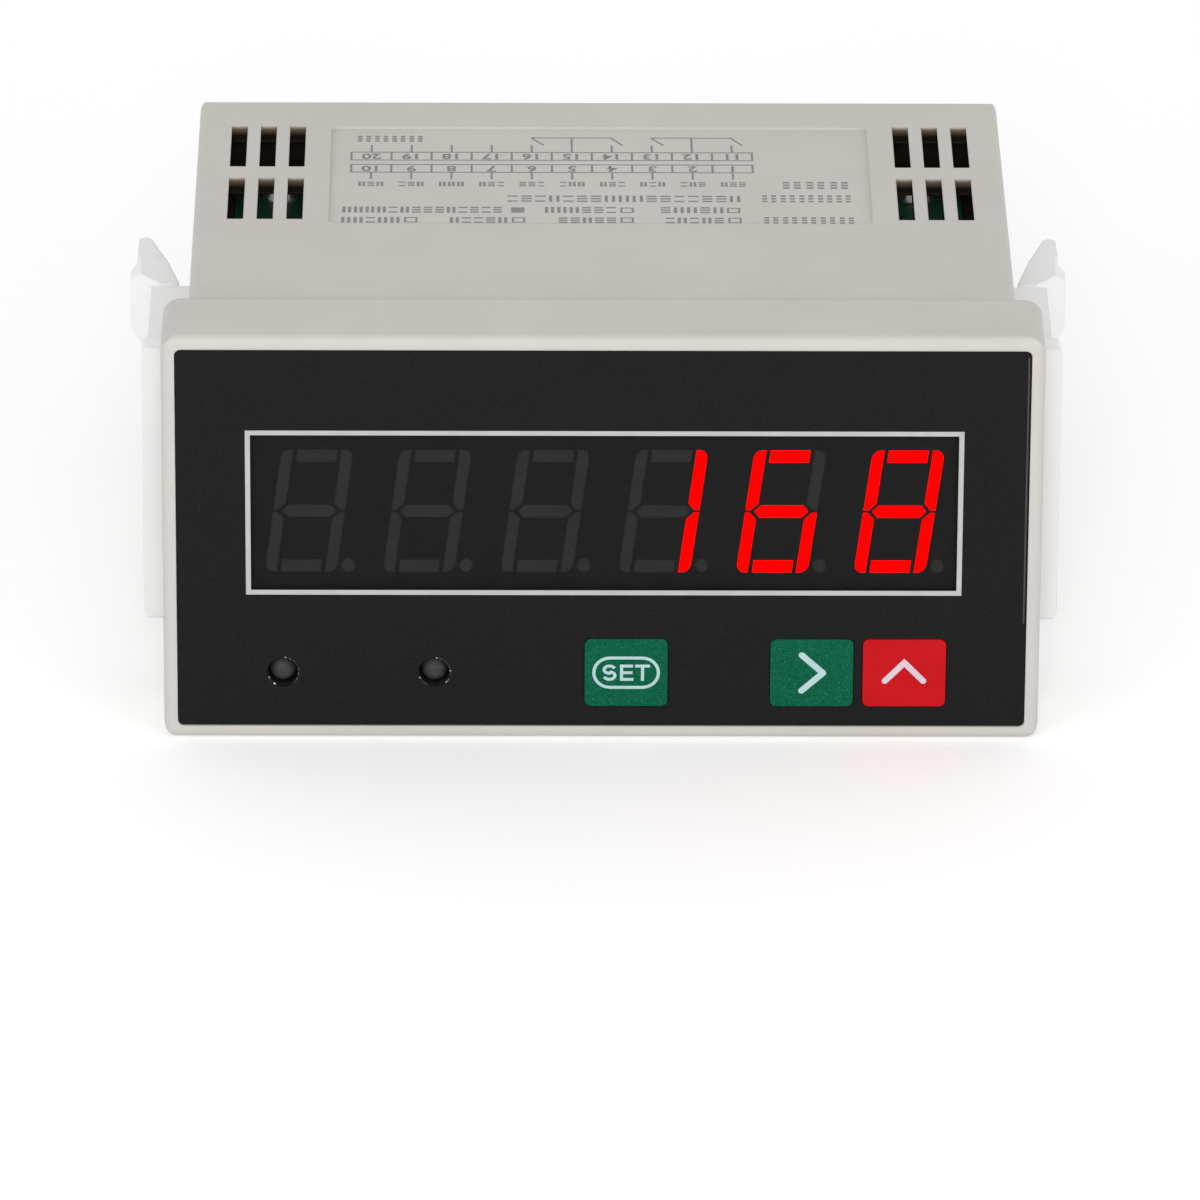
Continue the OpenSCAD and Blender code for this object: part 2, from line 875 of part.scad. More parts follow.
module vent_slots() {
    row_step = vent_len + vent_web;
    rear_y = case_len - vent_from_rear - vent_len;
    for (face = [0, 1], side = [0, 1], i = [0:2], row = [0, 1])
        mirror([0, 0, face])
            mirror([side, 0, 0])
                translate([vent_x + i * vent_pitch, rear_y - row * row_step, 0])
                    box([-vent_w / 2, vent_w / 2], [0, vent_len], [cavity_h / 2 - over, case_h / 2 + over]);
}

module label_recess() {
    translate([0, case_len - label_from_rear - label_len / 2, 0])
        along_z(case_h / 2 - label_depth, case_h / 2 + over)
            rounded_rect(label_w, label_len, label_corner_r);
}

module strip_openings() {
    for (face = [0, 1])
        mirror([0, 0, face])
            box([-strip_w / 2 - slide_gap, strip_w / 2 + slide_gap], [cavity_rear - over, case_len + over],
                [row_web_half, step_half + slide_gap]);
}

module case() {
    color("#c2beb9") {
        difference() {
            union() {
                round_ended_block(case_w, case_h, case_front, case_len, case_edge_r, case_rear_r, false);
                snap_lugs(0);
            }
            case_cavity();
            for (side = [0, 1])
                mirror([side, 0, 0])
                    rail_channel();
            vent_slots();
            label_recess();
            strip_openings();
        }
        for (side = [0, 1])
            mirror([side, 0, 0])
                rack();
    }
}

module deck_board() {
    difference() {
        box([-board_w / 2, board_w / 2], [deck_front, deck_rear], [step_half, step_half + board_t]);
        for (i = [0:ways - 1])
            translate([way_x(i), pin_y, step_half - over])
                cylinder(r = pin_hole_r, h = board_t + 2 * over);
    }
}

module upper_board() {
    color("#0f5a34")
        deck_board();
}

module lower_board() {
    color("#0f5a34")
        mirror([0, 0, 1])
            deck_board();
}

module header() {
    box([-header_pins * header_pitch / 2, header_pins * header_pitch / 2],
        [board_back, board_back + header_pitch], [step_half - header_pitch, step_half]);
}

module upper_header() {
    color("#1b1b1b")
        header();
}

module lower_header() {
    color("#1b1b1b")
        mirror([0, 0, 1])
            header();
}

// Terminals: way_x is the middle of a terminal, and the upper row is drawn first
function way_x(i) = (i - (ways - 1) / 2) * way_step;

module at_ways() {
    for (i = [0:ways - 1])
        translate([way_x(i), 0, 0])
            children();
}

module terminal_plate() {
    difference() {
        box([-terminal_w / 2, terminal_w / 2], [plate_seat, plate_seat + terminal_t],
            [way_floor + fit, step_half - fit]);
        translate([0, 0, screw_z])
            rod_y(screw_r + fit, plate_seat - over, plate_seat + terminal_t + over);
    }
    terminal_leg(0);
}

// The strip of metal that runs from a plate through the moulding and up to the circuit board
module terminal_leg(clear) {
    box([-leg_w / 2 - clear, leg_w / 2 + clear], [pin_y - pin_t / 2 - clear, plate_seat],
        [way_floor - clear, leg_top + clear]);
    box([-pin_t / 2 - clear, pin_t / 2 + clear], [pin_y - pin_t / 2 - clear, pin_y + pin_t / 2 + clear],
        [way_floor - clear, step_half + board_t + solder_out]);
}

module terminal_strip() {
    wire_w = way_step - barrier_t;
    difference() {
        box([-strip_w / 2, strip_w / 2], [strip_front, strip_rear], [strip_low, step_half]);
        at_ways() {
            box([-wire_w / 2, wire_w / 2], [plate_seat, strip_rear + over], [way_floor, step_half + over]);
            translate([0, 0, screw_z])
                rod_y(screw_r + fit, plate_seat - screw_len, plate_seat + over);
            terminal_leg(fit / 2);
        }
    }
}

module terminal_strip_upper() {
    color("#161616")
        terminal_strip();
}

module terminal_strip_lower() {
    color("#161616")
        mirror([0, 0, 1])
            terminal_strip();
}

module terminal_plates_upper() {
    color("#c9b47a")
        at_ways()
            terminal_plate();
}

module terminal_plates_lower() {
    color("#c9b47a")
        mirror([0, 0, 1])
            at_ways()
                terminal_plate();
}

module both_rows() {
    for (face = [0, 1])
        mirror([0, 0, face])
            at_ways()
                translate([0, plate_seat + terminal_t, screw_z])
                    children();
}

module clamp_washers() {
    washer_w = min(terminal_w, 2 * (step_half - screw_z) - 2 * fit);
    color("#c4c7ca")
        both_rows()
            difference() {
                along_y(0, washer_t)
                    square(washer_w, center = true);
                rod_y(screw_r + fit, -over, washer_t + over);
            }
}

module terminal_screws() {
    color("#cfd2d5")
        both_rows()
            difference() {
                union() {
                    rod_y(head_r, washer_t, washer_t + head_h);
                    rod_y(screw_r, washer_t - screw_len, washer_t);
                }
                box([-head_r - over, head_r + over], [washer_t + head_h / 2, washer_t + head_h + over],
                    [-slot_w / 2, slot_w / 2]);
            }
}

// Parts on the boards: relays and optocouplers hang from the upper board, the supply stands on the lower
relay_y = deck_front + (strip_front - deck_front - relay_len) / 2;
left_relay_x = -board_w / 4;
right_relay_x = left_relay_x + relay_w + part_gap;
behind_relays = relay_y + relay_len + part_gap;
bulk_x = right_relay_x + relay_w / 2 + part_gap + bulk_r;
core_x = bulk_x + bulk_r + part_gap + core_w / 2;
core_y = relay_y + coil_len / 2;
output_x = core_x + core_w / 2 + part_gap + output_r;

module relay(x) {
    color("#2a63a8")
        box([x - relay_w / 2, x + relay_w / 2], [relay_y, relay_y + relay_len],
            [step_half - relay_h, step_half]);
}

module relay_left() {
    relay(left_relay_x);
}

module relay_right() {
    relay(right_relay_x);
}

module transformer_core() {
    pocket_w = (core_w - 3 * limb_w) / 2;
    color("#3b3b3f")
        translate([core_x, core_y, -step_half])
            difference() {
                box([-core_w / 2, core_w / 2], [-core_t / 2, core_t / 2], [0, core_h]);
                for (side = [-1, 1])
                    translate([side * (limb_w + pocket_w) / 2, 0, 0])
                        box([-pocket_w / 2, pocket_w / 2], [-core_t, core_t], [limb_w, core_h - limb_w]);
            }
}

module transformer_coil() {
    wind_w = core_w - 2 * limb_w - 2 * fit;
    color("#d8b13c")
        translate([core_x, core_y, -step_half])
            difference() {
                box([-wind_w / 2, wind_w / 2], [-coil_len / 2, coil_len / 2],
                    [limb_w + fit, core_h - limb_w - fit]);
                box([-limb_w / 2 - fit, limb_w / 2 + fit], [-core_t / 2 - fit, core_t / 2 + fit],
                    [0, core_h]);
            }
}

module bulk_capacitor() {
    color("#20242c")
        translate([bulk_x, relay_y, fit + bulk_r - step_half])
            rod_y(bulk_r, 0, bulk_len);
}

module output_capacitors() {
    color("#20242c")
        for (side = [-1, 1])
            translate([output_x, core_y + side * (output_r + part_gap / 2), -step_half])
                cylinder(r = output_r, h = output_h);
}

module bridge_rectifier() {
    color("#1f1f1f")
        translate([right_relay_x, behind_relays, -step_half])
            box([-rectifier_w / 2, rectifier_w / 2], [0, rectifier_len], [0, rectifier_h]);
}

module fuse() {
    color("#6b4a2b")
        translate([left_relay_x, behind_relays + fuse_r, -step_half])
            cylinder(r = fuse_r, h = fuse_h);
}

module optocouplers() {
    color("#e4e2dc")
        for (i = [0:opto_count - 1])
            translate([bulk_x + i * (opto_w + part_gap), relay_y, step_half])
                box([-opto_w / 2, opto_w / 2], [0, opto_len], [-opto_h, 0]);
}

// A clip on the right side: foot, gussets, arm with hooks in the rails, and a sprung tongue with a tail
module clip_foot() {
    along_y(0, foot_t)
        polygon([[arm_in, -foot_h / 2], [foot_out - foot_chamfer, -foot_h / 2],
            [foot_out, 2 * foot_chamfer - foot_h / 2], [foot_out, foot_h / 2 - 2 * foot_chamfer],
            [foot_out - foot_chamfer, foot_h / 2], [arm_in, foot_h / 2]]);
}

module clip_arm() {
    difference() {
        along_x(arm_in, arm_out)
            polygon([[0, -foot_h / 2], [foot_t, -foot_h / 2], [foot_t + gusset_len, -arm_half],
                [arm_end, -arm_half], [arm_end, arm_half],
                [foot_t + gusset_len, arm_half], [foot_t, foot_h / 2], [0, foot_h / 2]]);
        box([arm_in - over, arm_out + over], [tongue_root, arm_end + over], [-rail_low, rail_low]);
    }
}

module clip_hooks() {
    hook_in = channel_floor_x + slide_gap;
    hook_out = case_w / 2 - rail_lip_t - slide_gap;
    for (face = [0, 1])
        mirror([0, 0, face])
            along_y(hook_front, arm_end) {
                translate([hook_in, rail_low])
                    square([hook_out - hook_in, channel_half - slide_gap - rail_low]);
                translate([hook_in, rail_low])
                    square([arm_in - hook_in, channel_half - rail_lip_over - slide_gap - rail_low]);
            }
}

// Flanges along the arm's upper and lower edges, which shield the tongue between them
module clip_flanges() {
    for (face = [0, 1])
        mirror([0, 0, face])
            box([arm_in, foot_out], [0, arm_end], [arm_half - arm_flange_t, arm_half]);
}

module clip_tongue() {
    pawl_tip = channel_floor_x + tooth_h + slide_gap;
    along_z(-tongue_half, tongue_half) {
        polygon([[arm_in, tongue_root - over], [arm_out, tongue_root - over], [arm_out, arm_end],
            [rib_in + arm_t, rib_y], [rib_in, rib_y], [arm_in, arm_end]]);
        polygon([[arm_in + arm_t / 2, pawl_y - pawl_len], [arm_in + arm_t / 2, pawl_y],
            [pawl_tip, pawl_y], [pawl_tip, pawl_y - tooth_pitch / 4]]);
    }
}

// The tail behind the tongue: a thumb rib with cut corners, then a flare that narrows to the tip
module clip_tail() {
    lead_in = rib_in - rib_flare * tail_lead / rib_back;
    tip_in = arm_in + tail_flare;
    tip_out = tip_in + tip_t;
    rib_out = tip_out + rib_proud;
    tail_end = arm_end + tail_len;
    intersection() {
        along_z(-tail_half, tail_half)
            polygon([[lead_in, rib_y - tail_lead], [lead_in + arm_t, rib_y - tail_lead], [rib_out, rib_y],
                [rib_out, rib_y + arm_t], [tip_out, rib_y + arm_t + rib_proud], [tip_out, tail_end - tip_t / 2],
                [tip_in + tip_t / 2, tail_end], [tip_in, tail_end - tip_t / 2], [rib_in, rib_y]]);
        along_y(0, tail_end)
            polygon([[arm_in, -tail_half], [rib_out - rib_chamfer, -tail_half],
                [rib_out, rib_chamfer - tail_half], [rib_out, tail_half - rib_chamfer],
                [rib_out - rib_chamfer, tail_half], [arm_in, tail_half]]);
        along_x(arm_in, rib_out)
            polygon([[0, -tail_half], [rib_y + arm_t, -tail_half], [tail_end, -tip_half],
                [tail_end, tip_half], [rib_y + arm_t, tail_half], [0, tail_half]]);
    }
}

module clip() {
    translate([0, panel_rest, 0]) {
        clip_foot();
        clip_arm();
        clip_flanges();
        clip_hooks();
        clip_tongue();
        clip_tail();
    }
}

module clip_right() {
    color("#ededed")
        clip();
}

module clip_left() {
    color("#ededed")
        mirror([1, 0, 0])
            clip();
}

bezel();
face_plate();
face_overlay();
window_border();
display_window();
key_set();
key_shift();
key_up();
plunger_set();
plunger_shift();
plunger_up();
tact_switches();
indicator_left();
indicator_right();
display_module_left();
display_module_right();
lit_segments();
dark_segments();
display_board();
board_screws();
microcontroller();
case();
upper_board();
lower_board();
upper_header();
lower_header();
terminal_strip_upper();
terminal_strip_lower();
terminal_plates_upper();
terminal_plates_lower();
clamp_washers();
terminal_screws();
relay_left();
relay_right();
transformer_core();
transformer_coil();
bulk_capacitor();
output_capacitors();
bridge_rectifier();
fuse();
optocouplers();
clip_left();
clip_right();
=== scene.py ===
import math
import random

import bmesh
import bpy
from mathutils import Matrix, Vector


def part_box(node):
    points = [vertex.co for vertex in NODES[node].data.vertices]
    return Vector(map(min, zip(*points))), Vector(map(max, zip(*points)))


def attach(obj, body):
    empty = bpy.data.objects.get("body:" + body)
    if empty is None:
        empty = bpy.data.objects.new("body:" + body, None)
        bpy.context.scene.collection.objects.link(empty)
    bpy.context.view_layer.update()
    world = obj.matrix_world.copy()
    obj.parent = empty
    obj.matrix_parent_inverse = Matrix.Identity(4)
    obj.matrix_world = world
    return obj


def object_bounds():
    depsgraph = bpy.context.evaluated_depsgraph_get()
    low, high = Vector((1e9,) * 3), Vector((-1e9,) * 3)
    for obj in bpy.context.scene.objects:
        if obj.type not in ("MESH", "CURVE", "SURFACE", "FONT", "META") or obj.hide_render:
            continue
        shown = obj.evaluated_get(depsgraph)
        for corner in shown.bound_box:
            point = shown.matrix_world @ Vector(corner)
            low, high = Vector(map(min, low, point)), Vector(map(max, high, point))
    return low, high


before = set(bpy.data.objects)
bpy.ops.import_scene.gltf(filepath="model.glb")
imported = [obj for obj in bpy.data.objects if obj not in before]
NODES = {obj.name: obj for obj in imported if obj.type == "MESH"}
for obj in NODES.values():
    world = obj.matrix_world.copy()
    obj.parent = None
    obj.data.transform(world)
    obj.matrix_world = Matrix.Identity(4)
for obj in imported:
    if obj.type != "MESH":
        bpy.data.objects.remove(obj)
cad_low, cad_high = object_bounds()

MM = 0.001
WHITE = (1, 1, 1, 1)
SCENE = bpy.context.scene
SEED = 96
rng = random.Random(SEED)

# Camera: azimuth, elevation and roll in degrees, place and clipping in metres
CAMERA_TURN = (-0.555, 24.706, 0.333)
CAMERA_PLACE = (-0.011326, -1.15808, 0.520739)
CAMERA_CLIP = (0.01, 20)
CAMERA_LENS = 346.53
SENSOR_WIDTH = 36

# Lamps: name, place and disc size in metres, power in watts
LAMPS = (
    ("front", (-0.04, -1.15, 0.54), 0.3, 3.2),
    ("left", (-0.75, -0.9, 0.4), 0.6, 2.2),
    ("right", (0.75, -0.9, 0.35), 0.6, 2.2),
)
# The world's strength as a light, and where it is seen
SOFT_LIGHT = 0.67
BACKDROP_LIGHT = 1.0
# Floor: half width in metres, grey, and the glow added where it is seen
FLOOR_REACH = 4.0
FLOOR_GREY = 0.92
FLOOR_LIFT = 0.28


def make_camera():
    azimuth, elevation, roll = (math.radians(a) for a in CAMERA_TURN)
    level = math.cos(elevation)
    back = Vector((math.sin(azimuth) * level, -math.cos(azimuth) * level, math.sin(elevation)))
    right = Vector((math.cos(azimuth), math.sin(azimuth), 0))
    up = back.cross(right)
    rolled_right = math.cos(roll) * right + math.sin(roll) * up
    rolled_up = -math.sin(roll) * right + math.cos(roll) * up
    data = bpy.data.cameras.new("camera")
    data.sensor_width = SENSOR_WIDTH
    data.lens = CAMERA_LENS
    data.clip_start, data.clip_end = CAMERA_CLIP
    camera = bpy.data.objects.new("camera", data)
    SCENE.collection.objects.link(camera)
    turn = Matrix((rolled_right, rolled_up, back)).transposed().to_4x4()
    camera.matrix_world = Matrix.Translation(CAMERA_PLACE) @ turn
    SCENE.camera = camera


def make_lamps():
    for name, place, size, watts in LAMPS:
        data = bpy.data.lights.new(name, "AREA")
        data.shape = "DISK"
        data.size = size
        data.energy = watts
        lamp = bpy.data.objects.new(name, data)
        SCENE.collection.objects.link(lamp)
        lamp.location = place
        lamp.rotation_mode = "QUATERNION"
        lamp.rotation_quaternion = (-Vector(place)).to_track_quat("-Z", "Y")
        lamp.visible_camera = False


def seen_directly(tree):
    """1 for rays from the camera, from mirrors and through glass."""
    path = tree.nodes.new("ShaderNodeLightPath")
    total = path.outputs["Is Camera Ray"]
    for name in ("Is Glossy Ray", "Is Transmission Ray"):
        join = tree.nodes.new("ShaderNodeMath")
        join.operation = "MAXIMUM"
        tree.links.new(total, join.inputs[0])
        tree.links.new(path.outputs[name], join.inputs[1])
        total = join.outputs[0]
    return total


def make_world():
    world = bpy.data.worlds.new("studio")
    SCENE.world = world
    world.use_nodes = True
    tree = world.node_tree
    tree.nodes.clear()
    out = tree.nodes.new("ShaderNodeOutputWorld")
    mix = tree.nodes.new("ShaderNodeMixShader")
    tree.links.new(seen_directly(tree), mix.inputs[0])
    for i, strength in ((1, SOFT_LIGHT), (2, BACKDROP_LIGHT)):
        shade = tree.nodes.new("ShaderNodeBackground")
        shade.inputs["Color"].default_value = WHITE
        shade.inputs["Strength"].default_value = strength
        tree.links.new(shade.outputs[0], mix.inputs[i])
    tree.links.new(mix.outputs[0], out.inputs[0])


def make_floor():
    mesh = bpy.data.meshes.new("floor")
    corners = [(x * FLOOR_REACH, y * FLOOR_REACH, cad_low.z)
               for x, y in ((-1, -1), (1, -1), (1, 1), (-1, 1))]
    mesh.from_pydata(corners, [], [(0, 1, 2, 3)])
    floor = bpy.data.objects.new("floor", mesh)
    SCENE.collection.objects.link(floor)
    material = bpy.data.materials.new("floor")
    material.use_nodes = True
    tree = material.node_tree
    tree.nodes.clear()
    out = tree.nodes.new("ShaderNodeOutputMaterial")
    diffuse = tree.nodes.new("ShaderNodeBsdfDiffuse")
    diffuse.inputs["Color"].default_value = (FLOOR_GREY, FLOOR_GREY, FLOOR_GREY, 1)
    glow = tree.nodes.new("ShaderNodeEmission")
    glow.inputs["Color"].default_value = WHITE
    lift = tree.nodes.new("ShaderNodeMath")
    lift.operation = "MULTIPLY"
    lift.inputs[1].default_value = FLOOR_LIFT
    both = tree.nodes.new("ShaderNodeAddShader")
    tree.links.new(seen_directly(tree), lift.inputs[0])
    tree.links.new(lift.outputs[0], glow.inputs["Strength"])
    tree.links.new(diffuse.outputs[0], both.inputs[0])
    tree.links.new(glow.outputs[0], both.inputs[1])
    tree.links.new(both.outputs[0], out.inputs[0])
    mesh.materials.append(material)


def linear(r, g, b):
    """sRGB 0-255 as linear colour."""
    def one(c):
        c /= 255
        return c / 12.92 if c <= 0.04045 else ((c + 0.055) / 1.055) ** 2.4
    return (one(r), one(g), one(b), 1.0)


def scaled(colour, k):
    r, g, b = (min(1, c * k) for c in colour[:3])
    return (r, g, b, 1.0)


# Levels of noise between which colour and gloss change
MOTTLE_LEVELS = (0.35, 0.65)
GLOSS_LEVELS = (0.3, 0.7)
# Cosine between rounded and plain normal, where an edge's lighter band of painted highlight and
# rub starts and where it is full
HIGHLIGHT_RUB_LEVELS = (0.99, 0.75)
EDGE_SAMPLES = 4

LOOKS = {}


class Look:
    """A procedural material that is built up layer by layer on one Principled shader."""

    def __init__(self, name, roughness=0.5, **sockets):
        self.name = name
        self.material = bpy.data.materials.new(name)
        self.material.use_nodes = True
        self.tree = self.material.node_tree
        self.shader = self.tree.nodes["Principled BSDF"]
        self.coords = self.tree.nodes.new("ShaderNodeTexCoord").outputs["Object"]
        self.colour = None
        self.normal = None
        self.shader.inputs["Roughness"].default_value = roughness
        for socket, value in sockets.items():
            self.shader.inputs[socket.replace("_", " ")].default_value = value

    def node(self, kind, **values):
        made = self.tree.nodes.new(kind)
        for key, value in values.items():
            setattr(made, key, value)
        return made

    def link(self, a, b):
        self.tree.links.new(a, b)

    def math(self, operation, *terms):
        """A math node on sockets and numbers."""
        made = self.node("ShaderNodeMath", operation=operation)
        for socket, term in zip(made.inputs, terms):
            if isinstance(term, (int, float)):
                socket.default_value = term
            else:
                self.link(term, socket)
        return made.outputs[0]

    def product(self, *terms):
        total = terms[0]
        for term in terms[1:]:
            total = self.math("MULTIPLY", total, term)
        return total

    def between(self, value, low_mm, high_mm):
        """1 where the value lies between the two lengths."""
        above = self.math("GREATER_THAN", value, low_mm * MM)
        return self.product(above, self.math("LESS_THAN", value, high_mm * MM))

    def split(self, vector):
        """The sockets X, Y and Z of a vector."""
        made = self.node("ShaderNodeSeparateXYZ")
        self.link(vector, made.inputs[0])
        return made.outputs

    def bevel(self, radius_mm, samples):
        """Normal that is rounded off along the edges."""
        made = self.node("ShaderNodeBevel", samples=samples)
        made.inputs["Radius"].default_value = radius_mm * MM
        return made.outputs["Normal"]

    def noise(self, size_mm, detail=3.0, stretch=None):
        """Noise with features of about that size."""
        source = self.coords
        if stretch:
            place = self.node("ShaderNodeMapping")
            place.inputs["Scale"].default_value = stretch
            self.link(self.coords, place.inputs["Vector"])
            source = place.outputs["Vector"]
        made = self.node("ShaderNodeTexNoise")
        made.inputs["Scale"].default_value = 1 / (size_mm * MM)
        made.inputs["Detail"].default_value = detail
        self.link(source, made.inputs["Vector"])
        return made.outputs["Fac"]

    def remap(self, value, low, high, to_low, to_high):
        made = self.node("ShaderNodeMapRange")
        ends = {"From Min": low, "From Max": high, "To Min": to_low, "To Max": to_high}
        for name, number in ends.items():
            made.inputs[name].default_value = number
        self.link(value, made.inputs["Value"])
        return made.outputs["Result"]

    def blend(self, fac, a, b):
        made = self.node("ShaderNodeMix", data_type="RGBA")
        self.link(fac, made.inputs["Factor"])
        sockets = [s for s in made.inputs if s.type == "RGBA"]
        for value, socket in zip((a, b), sockets):
            if isinstance(value, tuple):
                socket.default_value = value
            else:
                self.link(value, socket)
        return [s for s in made.outputs if s.type == "RGBA"][0]

    def mottle(self, colour, spread, size_mm):
        """Slow change of colour over the surface."""
        fac = self.remap(self.noise(size_mm), *MOTTLE_LEVELS, 0, 1)
        self.colour = self.blend(fac, scaled(colour, 1 - spread), scaled(colour, 1 + spread))

    def specks(self, colour, size_mm, low, high, strength=1.0):
        """Small spots of another colour where fine noise is above a level."""
        fac = self.remap(self.noise(size_mm, detail=1.0), low, high, 0, strength)
        self.colour = self.blend(fac, self.colour, colour)

    def gloss(self, low, high, size_mm):
        """Roughness that changes over the surface."""
        roughness = self.remap(self.noise(size_mm), *GLOSS_LEVELS, low, high)
        self.link(roughness, self.shader.inputs["Roughness"])

    def soft_edges(self, radius_mm, worn=None, strength=0.5):
        """Rounded shading on sharp edges, with a lighter band along them that is painted highlight
        and partly rubbed wear.
        """
        self.normal = self.bevel(radius_mm, EDGE_SAMPLES)
        if worn:
            geometry = self.node("ShaderNodeNewGeometry")
            dot = self.node("ShaderNodeVectorMath", operation="DOT_PRODUCT")
            self.link(self.normal, dot.inputs[0])
            self.link(geometry.outputs["Normal"], dot.inputs[1])
            fac = self.remap(dot.outputs["Value"], *HIGHLIGHT_RUB_LEVELS, 0, strength)
            self.colour = self.blend(fac, self.colour, worn)

    def grain(self, size_mm, height_mm, strength=0.5, detail=2.0, stretch=None):
        """Fine relief of the surface."""
        bump = self.node("ShaderNodeBump")
        bump.inputs["Strength"].default_value = strength
        bump.inputs["Distance"].default_value = height_mm * MM
        self.link(self.noise(size_mm, detail, stretch), bump.inputs["Height"])
        if self.normal:
            self.link(self.normal, bump.inputs["Normal"])
        self.normal = bump.outputs["Normal"]

    def done(self):
        """Closes the material and files it under its name."""
        self.link(self.colour, self.shader.inputs["Base Color"])
        if self.normal:
            self.link(self.normal, self.shader.inputs["Normal"])
        LOOKS[self.name] = self.material


def plastic(name, colour, roughness=(0.45, 0.6), spread=0.02, edge_mm=0.25, worn=1.06, rub_and_highlight=0.5,
            grain_mm=0.012, **sockets):
    """Moulded plastic with a fine eroded texture, open to more layers."""
    look = Look(name, **sockets)
    look.mottle(colour, spread, size_mm=14)
    look.specks(scaled(colour, 0.9), size_mm=0.35, low=0.62, high=0.8, strength=0.35)
    # Lighter edges: painted highlight, partly rubbed wear
    look.soft_edges(edge_mm, scaled(colour, worn), rub_and_highlight)
    look.gloss(*roughness, size_mm=5)
    look.grain(size_mm=0.25, height_mm=grain_mm)
    return look


def moulded(name, colour, **values):
    plastic(name, colour, **values).done()


def bare_metal(name, colour):
    """Plated metal with fine drawing marks."""
    look = Look(name, Metallic=1.0)
    look.mottle(colour, spread=0.08, size_mm=1.5)
    look.specks(scaled(colour, 0.72), size_mm=0.3, low=0.6, high=0.85, strength=0.5)
    look.soft_edges(radius_mm=0.12)
    look.gloss(0.22, 0.4, size_mm=0.8)
    look.grain(size_mm=0.12, height_mm=0.006, strength=0.4, stretch=(1, 0.15, 1))
    look.done()


def printed(name, colour, **sockets):
    """Screen ink: even colour with pinholes and a faint relief."""
    look = Look(name, **sockets)
    look.mottle(colour, spread=0.04, size_mm=2.5)
    look.specks(scaled(colour, 0.8), size_mm=0.16, low=0.62, high=0.8, strength=0.5)
    look.grain(size_mm=0.1, height_mm=0.004)
    look.done()


def film(name, colour, sparkle, amount, shade=0.6, **sockets):
    """Textured polyester film with fine shades and a fine sparkle."""
    look = Look(name, **sockets)
    look.mottle(colour, spread=0.05, size_mm=4)
    look.specks(scaled(colour, 0.55), size_mm=0.3, low=0.5, high=0.75, strength=shade)
    look.specks(sparkle, size_mm=0.2, low=0.56, high=0.72, strength=amount)
    look.specks(scaled(sparkle, 1.8), size_mm=0.16, low=0.69, high=0.76, strength=amount)
    look.gloss(0.41, 0.47, size_mm=1.2)
    look.grain(size_mm=0.14, height_mm=0.01)
    look.done()


# Pale plastic of case and bezel
CASE_GREY = linear(203, 199, 194)
CASE_GLOSS = (0.49, 0.56)
CASE_SPECULAR = 0.5
# Upper face of the case, and where a painted shade darkens it, in millimetres: the vents and the
# shell's inside
CASE_TOP = 22.0
VENTS_X = (31.8, 43.2)
VENTS_Y = (5, 56)
VENTS_Z = (19.9, 22.1)
INSIDE_X = 43.25
INSIDE_Y = (0, 60.35)
INSIDE_Z = (10.6, 20.3)
# Depth over which a vent's sides and ends take a painted brown shade and its ends a painted tan
# shade, in millimetres
SIDE_FADE = 0.25
END_FADE = 1.15
TAN_FADE = 0.45
# Colours of the painted shade: tan and brown down the vents, brown inside the shell
VENT_SHADE_TAN = linear(152, 129, 105)
VENT_SHADE_BROWN = linear(44, 37, 29)
INSIDE_SHADE_BROWN = linear(62, 56, 46)


def case_plastic():
    """Moulded plastic with painted shade: dark in the vents and inside the shell, where little
    light gets in.
    """
    look = plastic("case_plastic", CASE_GREY, CASE_GLOSS, edge_mm=0.35, worn=1.2, rub_and_highlight=0.8)
    place = look.split(look.coords)
    normal = look.split(look.node("ShaderNodeNewGeometry").outputs["True Normal"])
    across = look.math("ABSOLUTE", place["X"])
    height = look.math("ABSOLUTE", place["Z"])
    depth = place["Y"]
    sides = look.math("ABSOLUTE", normal["X"])
    ends = look.math("ABSOLUTE", normal["Y"])

    def below_top(fade_mm):
        """0 at the case's top, 1 from that depth on."""
        return look.remap(height, (CASE_TOP - fade_mm) * MM, CASE_TOP * MM, 1, 0)

    vents = look.product(look.between(across, *VENTS_X), look.between(depth, *VENTS_Y),
                         look.between(height, *VENTS_Z))
    walls = look.math("ADD", look.product(sides, below_top(SIDE_FADE)),
                      look.product(ends, below_top(END_FADE)))
    vent_shade = look.product(vents, walls)
    tan = look.product(vents, ends, below_top(TAN_FADE))
    shell_shade = look.product(look.between(height, *INSIDE_Z),
                            look.math("LESS_THAN", across, INSIDE_X * MM),
                            look.between(depth, *INSIDE_Y))
    # Paints the shade: tan high on the vents' ends, brown deeper in the vents and inside the shell
    for fac, colour in ((tan, VENT_SHADE_TAN), (vent_shade, VENT_SHADE_BROWN), (shell_shade, INSIDE_SHADE_BROWN)):
        look.colour = look.blend(fac, look.colour, colour)
    # No reflection where the shade is painted
    dark = look.math("MAXIMUM", vent_shade, shell_shade)
    look.link(look.remap(dark, 0, 1, CASE_SPECULAR, 0), look.shader.inputs["Specular IOR Level"])
    look.done()


def indicator_lens():
    """Unlit diffused lamp body."""
    look = Look("indicator_lens", Specular_IOR_Level=0.15)
    look.mottle(linear(60, 60, 61), spread=0.12, size_mm=0.8)
    look.specks(linear(98, 98, 98), size_mm=0.12, low=0.66, high=0.8, strength=0.5)
    look.gloss(0.35, 0.55, size_mm=0.6)
    look.grain(size_mm=0.4, height_mm=0.01, strength=0.3)
    look.done()


